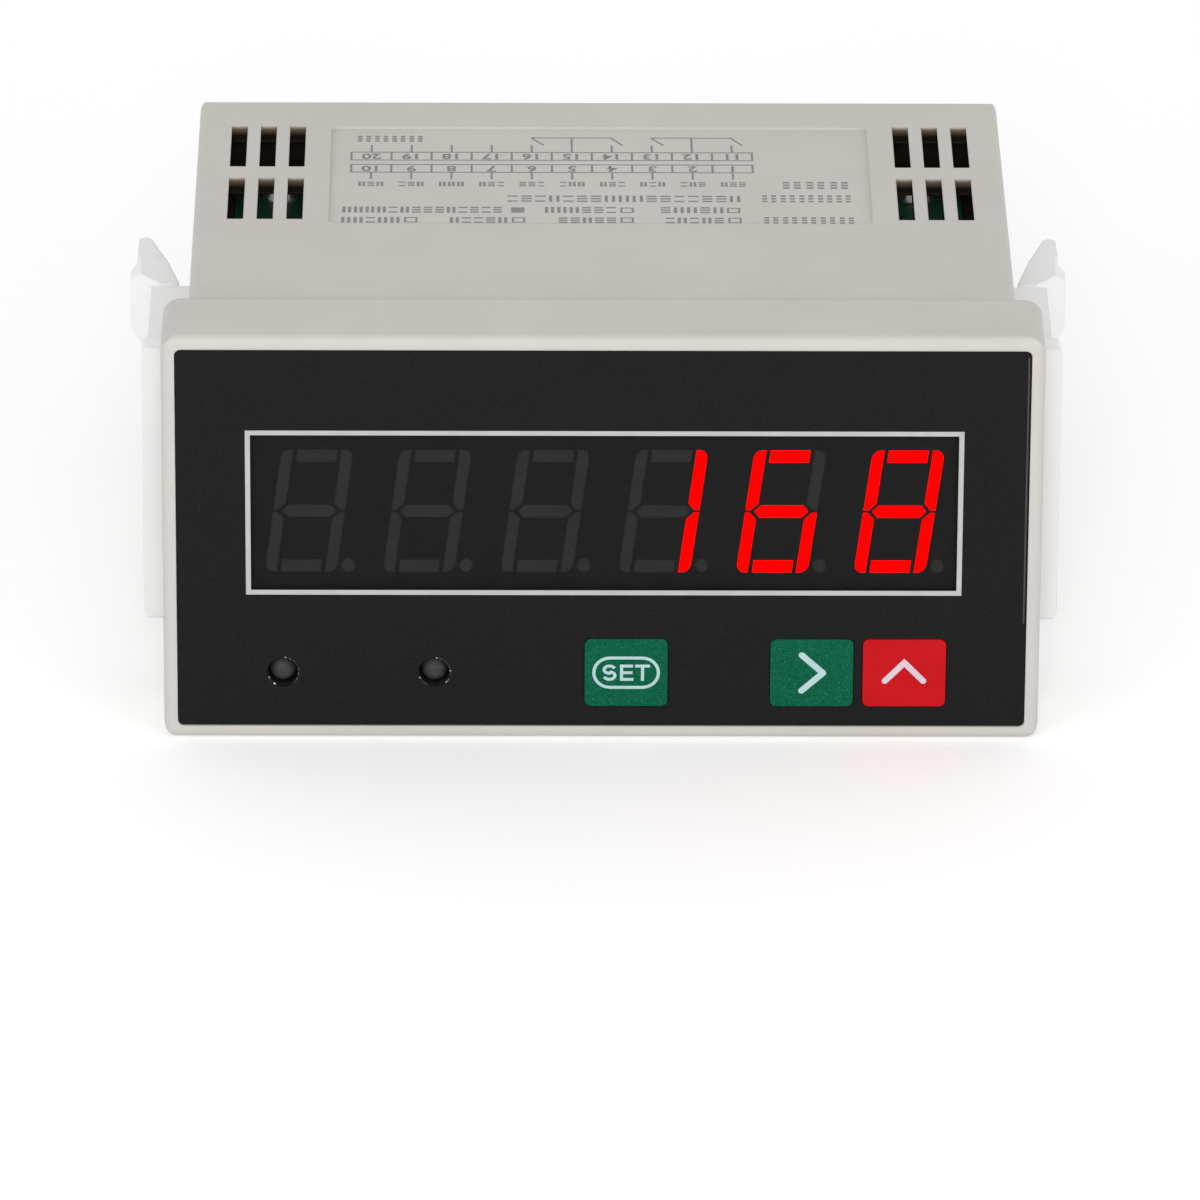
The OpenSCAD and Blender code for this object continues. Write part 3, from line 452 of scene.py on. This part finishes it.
def cut_edge():
    """Ragged cut of the film: black, with sparse pale specks that are painted glints."""
    look = Look("cut_edge", roughness=0.35, Specular_IOR_Level=0.3)
    look.mottle(linear(18, 18, 18), spread=0.2, size_mm=0.5)
    look.specks(linear(88, 88, 88), size_mm=0.5, low=0.52, high=0.62, strength=0.8)
    look.specks(linear(236, 236, 236), size_mm=0.32, low=0.6, high=0.68)
    look.grain(size_mm=0.1, height_mm=0.02)
    look.done()


def solder():
    """Bright solder with an uneven skin that glints."""
    look = Look("solder", Metallic=1.0)
    look.mottle(linear(248, 248, 248), spread=0.05, size_mm=1.0)
    look.gloss(0.4, 0.55, size_mm=0.6)
    look.grain(size_mm=0.8, height_mm=0.12, strength=1.0, detail=1.0)
    look.done()


def window_film():
    """Smoked clear film."""
    look = Look("window_film", Alpha=0.12, Specular_IOR_Level=0.02)
    look.mottle(linear(12, 12, 12), spread=0.1, size_mm=6)
    look.gloss(0.25, 0.35, size_mm=2)
    look.done()


MODULE_BLACK = linear(34, 34, 34)
# Reach of a module's rim over its segments' sides in millimetres, and the tilt it starts at
SEGMENT_RIM = 0.3
SEGMENT_TILT = 0.3
SEGMENT_SAMPLES = 16
# Glow of the lit segments: strength, and the two reds that it changes between
SEGMENT_GLOW = 1.6
GLOW_REDS = ((0.9, 0.0, 0.0, 1), (1.0, 0.0, 0.0, 1))


def segment_sides(look):
    """1 along the upright sides of a segment, where the module's rim shades the epoxy."""
    tilt = look.math("ABSOLUTE", look.split(look.bevel(SEGMENT_RIM, SEGMENT_SAMPLES))["X"])
    return look.math("GREATER_THAN", tilt, SEGMENT_TILT)


def segment_lit():
    """Glowing epoxy."""
    look = Look("segment_lit", Specular_IOR_Level=0.0)
    look.mottle(linear(255, 0, 0), spread=0.05, size_mm=3)
    patches = look.remap(look.noise(size_mm=1.2), *GLOSS_LEVELS, 0, 1)
    look.link(look.blend(patches, *GLOW_REDS), look.shader.inputs["Emission Color"])
    sides = segment_sides(look)
    look.colour = look.blend(sides, look.colour, MODULE_BLACK)
    glow = look.remap(sides, 0, 1, SEGMENT_GLOW, 0)
    look.link(glow, look.shader.inputs["Emission Strength"])
    look.done()


def segment_dark():
    """Unlit epoxy."""
    look = Look("segment_dark", roughness=0.6, Specular_IOR_Level=0.1)
    look.mottle(linear(57, 57, 57), spread=0.04, size_mm=2.5)
    look.specks(linear(50, 50, 50), size_mm=0.16, low=0.62, high=0.8, strength=0.5)
    look.colour = look.blend(segment_sides(look), look.colour, MODULE_BLACK)
    look.grain(size_mm=0.1, height_mm=0.004)
    look.done()


def make_looks():
    case_plastic()
    moulded("bezel_plastic", CASE_GREY, roughness=CASE_GLOSS)
    moulded("black_plastic", linear(30, 30, 31), worn=1.6)
    moulded("module_face", MODULE_BLACK, edge_mm=0.05, grain_mm=0.004, Specular_IOR_Level=0.1)
    film("overlay_film", linear(20, 20, 20), linear(44, 44, 44), amount=0.25,
         Specular_IOR_Level=0.125)
    printed("border_print", linear(189, 189, 189), Specular_IOR_Level=0.25)
    film("key_green", linear(9, 92, 65), linear(42, 122, 95), amount=0.7,
         Specular_IOR_Level=0.05)
    film("key_red", linear(199, 23, 31), linear(208, 38, 46), amount=0.3, shade=0.2,
         Specular_IOR_Level=0.05)
    printed("legend_green", linear(182, 212, 211), Specular_IOR_Level=0.1)
    printed("legend_red", linear(222, 203, 215), Specular_IOR_Level=0.1)
    printed("label_ink", linear(136, 134, 133), Specular_IOR_Level=0.2)
    moulded("plunger_plastic", linear(42, 42, 42), edge_mm=0.1)
    bare_metal("switch_steel", linear(190, 192, 196))
    bare_metal("screw_steel", linear(200, 201, 203))
    bare_metal("terminal_brass", linear(206, 190, 140))
    solder()
    moulded("board_green", linear(60, 118, 88), roughness=(0.25, 0.4), spread=0.12, worn=1.4)
    moulded("chip_plastic", linear(34, 34, 35))
    moulded("relay_plastic", linear(42, 99, 168))
    moulded("core_ferrite", linear(59, 59, 63), roughness=(0.6, 0.8))
    moulded("coil_tape", linear(216, 177, 60), roughness=(0.2, 0.35))
    moulded("capacitor_sleeve", linear(32, 36, 44), roughness=(0.25, 0.4))
    moulded("fuse_plastic", linear(107, 74, 43))
    moulded("opto_plastic", linear(228, 226, 220))
    moulded("clip_nylon", linear(251, 251, 251), roughness=(0.35, 0.5), spread=0.01, worn=1.02,
            Subsurface_Weight=0.15, Subsurface_Radius=(1, 1, 1), Subsurface_Scale=0.0015)
    indicator_lens()
    # Painted glints on the cut rims of the lamp holes
    cut_edge()
    # Painted highlight on the film's cut
    printed("painted_cut_highlight", linear(78, 78, 78), Specular_IOR_Level=0.1)
    window_film()
    segment_lit()
    segment_dark()


# The nodes of the CAD that have each look
LOOK_NODES = {
    "case_plastic": ("case",),
    "bezel_plastic": ("bezel",),
    "black_plastic": ("face_plate", "upper_header", "lower_header", "terminal_strip_upper",
                      "terminal_strip_lower"),
    "overlay_film": ("face_overlay",),
    "border_print": ("window_border",),
    "window_film": ("display_window",),
    "module_face": ("display_module_left", "display_module_right"),
    "segment_lit": ("lit_segments",),
    "segment_dark": ("dark_segments",),
    "indicator_lens": ("indicator_left", "indicator_right"),
    "key_green": ("key_set", "key_shift"),
    "key_red": ("key_up",),
    "plunger_plastic": ("plunger_set", "plunger_shift", "plunger_up"),
    "switch_steel": ("tact_switches",),
    "board_green": ("display_board", "upper_board", "lower_board"),
    "chip_plastic": ("microcontroller", "bridge_rectifier"),
    "relay_plastic": ("relay_left", "relay_right"),
    "core_ferrite": ("transformer_core",),
    "coil_tape": ("transformer_coil",),
    "capacitor_sleeve": ("bulk_capacitor", "output_capacitors"),
    "fuse_plastic": ("fuse",),
    "opto_plastic": ("optocouplers",),
    "terminal_brass": ("terminal_plates_upper", "terminal_plates_lower"),
    "screw_steel": ("board_screws", "clamp_washers", "terminal_screws"),
    "clip_nylon": ("clip_left", "clip_right"),
}


def dress_nodes():
    for look, names in LOOK_NODES.items():
        for name in names:
            slots = NODES[name].data.materials
            if not slots:
                slots.append(LOOKS[look])
            for i in range(len(slots)):
                slots[i] = LOOKS[look]


def add_piece(name, mesh, to_space, look, body):
    """Turns a bmesh into a piece that rides on a body."""
    bmesh.ops.recalc_face_normals(mesh, faces=mesh.faces)
    data = bpy.data.meshes.new(name)
    mesh.to_mesh(data)
    mesh.free()
    data.transform(to_space)
    data.materials.append(LOOKS[look])
    piece = bpy.data.objects.new(name, data)
    SCENE.collection.objects.link(piece)
    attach(piece, body)


def arc(cx, cy, r, start, end, steps=12):
    turns = [math.radians(start + (end - start) * k / steps) for k in range(steps + 1)]
    return [(cx + r * math.cos(t), cy + r * math.sin(t)) for t in turns]


def stadium(w, h):
    r = h / 2
    return arc(w / 2 - r, 0, r, -90, 90) + arc(r - w / 2, 0, r, 90, 270)


def rectangle(x0, y0, x1, y1):
    return [(x0, y0), (x1, y0), (x1, y1), (x0, y1)]


# Points closer than this become one, in millimetres
MERGE = 1e-4
# Least cosine of half a bend, so that a sharp one doesn't run out to a long point
MITRE_LIMIT = 0.3
FIGURE_STEPS = 3


class Print:
    """Flat shapes drawn in millimetres, then raised into one thin piece."""

    def __init__(self, name, look, to_space, thickness):
        self.name, self.look, self.to_space, self.thickness = name, look, to_space, thickness
        self.mesh = bmesh.new()

    def points(self, places):
        return [self.mesh.verts.new((x, y, 0)) for x, y in places]

    def face(self, outline):
        self.mesh.faces.new(self.points(outline))

    def rect(self, x0, y0, x1, y1):
        self.face(rectangle(x0, y0, x1, y1))

    def frame(self, x0, y0, x1, y1, line):
        """An open rectangle drawn with a line of that width inside it."""
        self.ring(rectangle(x0, y0, x1, y1),
                  rectangle(x0 + line, y0 + line, x1 - line, y1 - line))

    def ring(self, outer, inner):
        a, b = self.points(outer), self.points(inner)
        for i in range(len(a)):
            j = (i + 1) % len(a)
            self.mesh.faces.new((a[i], a[j], b[j], b[i]))

    def stroke(self, path, width, round_ends=True, round_corners=False):
        """A line along a path."""
        path = [Vector(p) for p in path]
        half = width / 2
        left, right = [], []
        for i, p in enumerate(path):
            before = (p - path[i - 1]).normalized() if i else None
            after = (path[i + 1] - p).normalized() if i < len(path) - 1 else None
            start, end = before or after, after or before
            along = (start + end).normalized()
            side = Vector((-along.y, along.x))
            reach = half / max(MITRE_LIMIT, side.dot(Vector((-start.y, start.x))))
            bend = before and after and before.cross(after)
            for outline, sign in ((left, 1), (right, -1)):
                if round_corners and bend and bend * sign < 0:
                    outline += self.corner(p, before, after, half, sign)
                else:
                    outline.append(p + side * reach * sign)
        outline = left + self.cap(path[-1], path[-2], half, round_ends) + right[::-1]
        outline += self.cap(path[0], path[1], half, round_ends)
        self.face([(p.x, p.y) for p in outline])

    @staticmethod
    def corner(p, before, after, half, sign, steps=6):
        """The outer side of a bend as an arc."""
        first = math.atan2(sign * before.x, -sign * before.y)
        bend = before.angle_signed(after)
        turns = [first - bend * k / steps for k in range(steps + 1)]
        return [p + half * Vector((math.cos(t), math.sin(t))) for t in turns]

    @staticmethod
    def cap(end, inner, half, round_ends, steps=8):
        """The points of a rounded end, or none."""
        if not round_ends:
            return []
        along = (end - inner).normalized()
        start = math.atan2(along.y, along.x) + math.pi / 2
        turns = [start - math.pi * k / steps for k in range(1, steps)]
        return [end + half * Vector((math.cos(t), math.sin(t))) for t in turns]

    def figures(self, body, size, bold, x, y):
        """Numbers that read from behind the counter."""
        curve = bpy.data.curves.new("figures", "FONT")
        curve.body, curve.size, curve.offset = body, size, bold
        curve.align_x, curve.align_y = "CENTER", "CENTER"
        curve.resolution_u = FIGURE_STEPS
        maker = bpy.data.objects.new("figures", curve)
        SCENE.collection.objects.link(maker)
        bpy.context.view_layer.update()
        shown = maker.evaluated_get(bpy.context.evaluated_depsgraph_get())
        flat = bpy.data.meshes.new_from_object(shown)
        flat.transform(Matrix.Translation((x, y, 0)) @ Matrix.Rotation(math.pi, 4, "Z"))
        self.mesh.from_mesh(flat)
        bpy.data.objects.remove(maker)
        bpy.data.meshes.remove(flat)
        bpy.data.curves.remove(curve)

    def finish(self, body):
        bmesh.ops.remove_doubles(self.mesh, verts=self.mesh.verts, dist=MERGE)
        bmesh.ops.recalc_face_normals(self.mesh, faces=self.mesh.faces)
        for face in self.mesh.faces:
            if face.normal.z < 0:
                face.normal_flip()
        raised = bmesh.ops.extrude_face_region(self.mesh, geom=list(self.mesh.faces))
        top = [g for g in raised["geom"] if isinstance(g, bmesh.types.BMVert)]
        bmesh.ops.translate(self.mesh, verts=top, vec=(0, 0, self.thickness))
        add_piece(self.name, self.mesh, self.to_space, self.look, body)


def middle(name):
    low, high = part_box(name)
    return (low.x + high.x) / 2 / MM, (low.z + high.z) / 2 / MM


def on_face(x, y, z):
    """Drawing plane that faces forwards: drawing x to the right, drawing y up."""
    axes = Matrix(((1, 0, 0), (0, 0, -1), (0, 1, 0))).to_4x4()
    return Matrix.Scale(MM, 4) @ Matrix.Translation((x, y, z)) @ axes


# Front of the keys, and thickness of the ink on them and on the film, in millimetres
KEY_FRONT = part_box("key_set")[0].y / MM
KEY_INK = 0.02
# SET, in millimetres: outer and inner size of its frame, height and line of its letters
SET_FRAME = ((7.45, 3.9), (6.75, 3.2))
SET_TALL, SET_LINE = 1.95, 0.34
# S: middle, radius and turn in degrees of its upper and its lower bow, and how far it is widened
S_X, S_WIDER, S_STEPS = -1.83, 1.35, 16
S_UPPER, S_UPPER_TURN = 0.44, (20, 270)
S_LOWER, S_LOWER_TURN = 0.45, (90, -160)
# E and T: left and right side, and how much shorter the E's middle and upper arms are
E_SIDES, E_SHORTER = (-0.67, 0.8), (0.1, 0.04)
T_SIDES = (0.98, 2.62)
# Arrows: path and line in millimetres
SHIFT_ARROW, SHIFT_LINE = ((-1.1, 2.15), (1.24, 0), (-1.1, -2.15)), 0.7
UP_ARROW, UP_LINE = ((-2.1, -0.95), (0, 1.25), (2.1, -0.95)), 0.68


def on_key(name):
    x, z = middle(name)
    return on_face(x, KEY_FRONT, z)


def draw_set(drawing):
    half = SET_LINE / 2
    top, low = SET_TALL / 2, -SET_TALL / 2
    under, over = top - SET_LINE, low + SET_LINE
    drawing.ring(*(stadium(w, h) for w, h in SET_FRAME))

    upper = arc(S_X, top - half - S_UPPER, S_UPPER, *S_UPPER_TURN, S_STEPS)
    lower = arc(S_X, low + half + S_LOWER, S_LOWER, *S_LOWER_TURN, S_STEPS)
    bows = [(S_X + (x - S_X) * S_WIDER, y) for x, y in upper + lower[1:]]
    drawing.stroke(bows, SET_LINE, round_ends=False)

    left, right = E_SIDES
    inner = left + SET_LINE
    mid_arm, top_arm = (right - short for short in E_SHORTER)
    drawing.face([(left, low), (right, low), (right, over), (inner, over), (inner, -half),
                  (mid_arm, -half), (mid_arm, half), (inner, half), (inner, under),
                  (top_arm, under), (top_arm, top), (left, top)])

    left, right = T_SIDES
    stem = (left + right) / 2
    drawing.face([(stem - half, low), (stem + half, low), (stem + half, under), (right, under),
                  (right, top), (left, top), (left, under), (stem - half, under)])


def make_legends():
    drawing = Print("legend_set", "legend_green", on_key("key_set"), KEY_INK)
    draw_set(drawing)
    drawing.finish("key_set")

    drawing = Print("legend_shift", "legend_green", on_key("key_shift"), KEY_INK)
    drawing.stroke(SHIFT_ARROW, SHIFT_LINE, round_corners=True)
    drawing.finish("key_shift")

    drawing = Print("legend_up", "legend_red", on_key("key_up"), KEY_INK)
    drawing.stroke(UP_ARROW, UP_LINE)
    drawing.finish("key_up")


# Front, right side and top of the face film, in millimetres
FILM_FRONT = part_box("face_overlay")[0].y / MM
FILM_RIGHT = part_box("face_overlay")[1].x / MM
FILM_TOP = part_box("face_overlay")[1].z / MM
# Painted highlight, a pale line where light catches the cut along its right edge: left, low, right
# and high side
FILM_CUT_HIGHLIGHT = (FILM_RIGHT - 0.3, -10.0, FILM_RIGHT - 0.14, FILM_TOP - 0.7)
# Painted glints on the ragged edge of its two lamp holes: radii, and the turns in degrees of the
# arcs that carry them
HOLE_GLINT_RADII = (1.66, 1.80)
HOLE_GLINT_TURNS = ((-50, 85), (200, 245))
HOLE_STEPS = 24


def make_hole_edges():
    for side in ("left", "right"):
        x, z = middle(f"indicator_{side}")
        drawing = Print(f"hole_glint_{side}", "cut_edge", on_face(x, FILM_FRONT, z), KEY_INK)
        # Arcs only at the turns where glints are painted
        for start, end in HOLE_GLINT_TURNS:
            inner, outer = (arc(0, 0, r, start, end, HOLE_STEPS) for r in HOLE_GLINT_RADII)
            drawing.face(outer + inner[::-1])
        drawing.finish("housing")


def make_film_cut():
    # Draws the painted highlight along the cut's right edge
    drawing = Print("film_cut_highlight", "painted_cut_highlight", on_face(0, FILM_FRONT, 0), KEY_INK)
    drawing.rect(*FILM_CUT_HIGHLIGHT)
    drawing.finish("housing")


# Depth of the filler between the display modules, in millimetres
JOINT_DEPTH = 0.5
# Corners of a box's faces, counted along z first, then y, then x
BOX_FACES = ((0, 1, 3, 2), (4, 6, 7, 5), (0, 4, 5, 1), (2, 3, 7, 6), (0, 2, 6, 4), (1, 5, 7, 3))


def make_module_joint():
    """Filler in the gap between the two display modules."""
    low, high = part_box("display_module_left")
    gap_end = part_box("display_module_right")[0].x
    back = low.y + JOINT_DEPTH * MM
    mesh = bmesh.new()
    verts = [mesh.verts.new((x, y, z))
             for x in (high.x, gap_end) for y in (low.y, back) for z in (low.z, high.z)]
    for corners in BOX_FACES:
        mesh.faces.new([verts[i] for i in corners])
    add_piece("module_joint", mesh, Matrix.Identity(4), "module_face", "housing")


# Depth and floor of the label's recess, and thickness of its ink, in millimetres
LABEL_RECESS = 0.35
LABEL_FLOOR = CASE_TOP - LABEL_RECESS
LABEL_INK = 0.012
# Lines of the label's plan, words, dense words and names, and the space that keeps shapes apart
LABEL_LINE = 0.24
WORD_LINE = 0.36
DENSE_LINE = 0.44
NAME_LINE = 0.3
MARK_GAP = 0.01
# Share of a field's pitch that stays free
MARK_SPACE = 0.25
# Strokes in a full and a sparse field, and the shares of upright fields and of full level ones
FULL, SPARSE = 3, 2
UPRIGHT_SHARE = 0.45
FULL_SHARE = 0.5

# Plan of the label, in millimetres: two rows of terminal boxes, each with its low and high side
# and its numbers
BOX_LEFT, BOX_PITCH, BOX_COUNT = -27.97, 4.517, 10
BOX_ROWS = ((45.05, 47.6, range(20, 10, -1)), (41.5, 44.0, range(10, 0, -1)))
FIGURE_SIZE, FIGURE_BOLD = 2.2, 0.05
# Ends of the ticks on the boxes, the bar over a pair of contacts, the box that each pair starts
# at, the boxes from there to its end, and how far its two contacts lean
TICK_TOP, TICK_LOW, BAR_Y = 49.6, 39.6, 51.8
CONTACTS = (4, 7)
CONTACT_SPAN = 2
CONTACT_LEANS = (1.35, 1.2)
# Names under the lower row: low and high side, half width, fields
NAMES_Y = (37.55, 38.85)
NAME_HALF = 1.4
NAME_FIELDS = 3

# Words of the label: left, right, low, high, fields, dense
WORDS = (
    (-27.3, -20.0, 50.6, 52.3, 4, True),
    (20.5, 27.8, 37.0, 39.0, 3, True),
    (18.1, 28.0, 33.1, 35.1, 5, True),
    (-10.4, 15.65, 33.1, 34.9, 17, False),
    (-28.8, -11.0, 29.9, 31.6, 14, False),
    (-6.2, 1.7, 29.9, 31.6, 6, False),
    (6.7, 13.7, 29.9, 31.6, 5, False),
    (-28.9, -22.4, 27.0, 28.6, 5, False),
    (-16.8, -10.4, 27.0, 28.6, 5, False),
    (-4.7, 1.7, 27.0, 28.6, 5, False),
    (7.2, 13.7, 27.0, 28.6, 5, False),
    (18.2, 28.2, 26.9, 28.8, 5, True),
)
# Boxes to tick: size, then the right and low side of the filled one and of the open ones
TICK_BOX = 1.5
FILLED_BOX = (-8.5, 29.95)
OPEN_BOXES = ((3.7, 29.95), (15.6, 29.95), (-20.4, 27.1), (-8.4, 27.1), (3.7, 27.1), (15.7, 27.1))


def mark(drawing, x, y, wide, high, line, dense):
    """A small field of level or upright strokes, which are cut in two in a dense one."""
    upright = not dense and rng.random() < UPRIGHT_SHARE
    count = FULL if dense or not upright and rng.random() < FULL_SHARE else SPARSE
    step = ((wide if upright else high) - line) / (count - 1)
    half = (wide - line) / 2
    for i in range(count):
        at = i * step
        if upright:
            drawing.rect(x + at, y, x + at + line, y + high)
        elif dense:
            drawing.rect(x, y + at, x + half, y + at + line)
            drawing.rect(x + wide - half, y + at, x + wide, y + at + line)
        else:
            drawing.rect(x, y + at, x + wide, y + at + line)


def word(drawing, x0, x1, y0, y1, count, line, dense):
    """Stroked fields in place of a word, spread evenly."""
    pitch = (x1 - x0) / (count - MARK_SPACE)
    for i in range(count):
        mark(drawing, x0 + i * pitch, y0, pitch * (1 - MARK_SPACE), y1 - y0, line, dense)


def on_label():
    """Drawing plane in the label recess: drawing x along X, drawing y along Y."""
    return Matrix.Scale(MM, 4) @ Matrix.Translation((0, 0, LABEL_FLOOR))


def make_label():
    drawing = Print("label_print", "label_ink", on_label(), LABEL_INK)
    half = LABEL_LINE / 2
    inset = LABEL_LINE + MARK_GAP
    box_right = BOX_LEFT + BOX_COUNT * BOX_PITCH
    centres = [BOX_LEFT + (i + 0.5) * BOX_PITCH for i in range(BOX_COUNT)]
    for low, high, numbers in BOX_ROWS:
        drawing.frame(BOX_LEFT - half, low, box_right + half, high, LABEL_LINE)
        for x, number in zip(centres, numbers):
            drawing.figures(str(number), FIGURE_SIZE, FIGURE_BOLD, x, (low + high) / 2)
        for i in range(1, BOX_COUNT):
            x = BOX_LEFT + i * BOX_PITCH
            drawing.rect(x - half, low + inset, x + half, high - inset)
    row_top, row_low = BOX_ROWS[0][1] + MARK_GAP, BOX_ROWS[1][0] - MARK_GAP
    under_bar = BAR_Y - half - MARK_GAP
    joined = [first + CONTACT_SPAN // 2 for first in CONTACTS]
    for i, x in enumerate(centres):
        drawing.rect(x - half, row_top, x + half, under_bar if i in joined else TICK_TOP)
        drawing.rect(x - half, TICK_LOW, x + half, row_low)
        word(drawing, x - NAME_HALF, x + NAME_HALF, *NAMES_Y, NAME_FIELDS, NAME_LINE, False)
    for first in CONTACTS:
        ends = centres[first], centres[first + CONTACT_SPAN]
        drawing.rect(ends[0] - half, BAR_Y - half, ends[1] + half, BAR_Y + half)
        for x, lean in zip(ends, CONTACT_LEANS):
            drawing.stroke([(x, under_bar), (x + lean, TICK_TOP)], LABEL_LINE, round_ends=False)
    for x0, x1, y0, y1, count, dense in WORDS:
        word(drawing, x0, x1, y0, y1, count, DENSE_LINE if dense else WORD_LINE, dense)
    right, low = FILLED_BOX
    drawing.rect(right - TICK_BOX, low, right, low + TICK_BOX)
    for right, low in OPEN_BOXES:
        drawing.frame(right - TICK_BOX, low, right, low + TICK_BOX, LABEL_LINE)
    drawing.finish("housing")


# Solder joints at the terminals' pins, in millimetres: outer face of the decks, count and pitch
# of the pins, middle, half width and half length of a pad
DECK_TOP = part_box("upper_board")[1].z / MM
WAYS = 10
WAY_PITCH = 8.05
SOLDER_Y = 57.8
SOLDER_PAD = (2.0, 2.3)
# A joint's share of its pad by height over the deck, its points per turn, and the power that
# squares its outline
SOLDER_PROFILE = ((1.0, -0.05), (0.95, 0.3), (0.84, 0.8), (0.67, 1.15), (0.46, 1.35), (0.25, 1.42))
SOLDER_STEPS = 32
SOLDER_SQUARE = 0.5


def squared(value):
    """Turns a circle's coordinate into that of a rounded square."""
    return math.copysign(abs(value) ** SOLDER_SQUARE, value)


def make_solder():
    turns = [2 * math.pi * k / SOLDER_STEPS for k in range(SOLDER_STEPS)]
    outline = [(SOLDER_PAD[0] * squared(math.cos(t)), SOLDER_PAD[1] * squared(math.sin(t)))
               for t in turns]
    for name, side in (("solder_upper", 1), ("solder_lower", -1)):
        mesh = bmesh.new()
        for i in range(WAYS):
            middle_x = (i - (WAYS - 1) / 2) * WAY_PITCH
            rings = []
            for share, height in SOLDER_PROFILE:
                z = side * (DECK_TOP + height)
                rings.append([mesh.verts.new((middle_x + share * x, SOLDER_Y + share * y, z))
                              for x, y in outline])
            for low, high in zip(rings, rings[1:]):
                for k in range(SOLDER_STEPS):
                    j = (k + 1) % SOLDER_STEPS
                    mesh.faces.new((low[k], low[j], high[j], high[k])).smooth = True
            mesh.faces.new(rings[0])
            mesh.faces.new(rings[-1])
        add_piece(name, mesh, Matrix.Scale(MM, 4), "solder", "housing")


make_camera()
make_world()
make_floor()
make_lamps()
make_looks()
dress_nodes()
make_legends()
make_hole_edges()
make_film_cut()
make_module_joint()
make_label()
make_solder()

SCENE.view_settings.view_transform = "Standard"
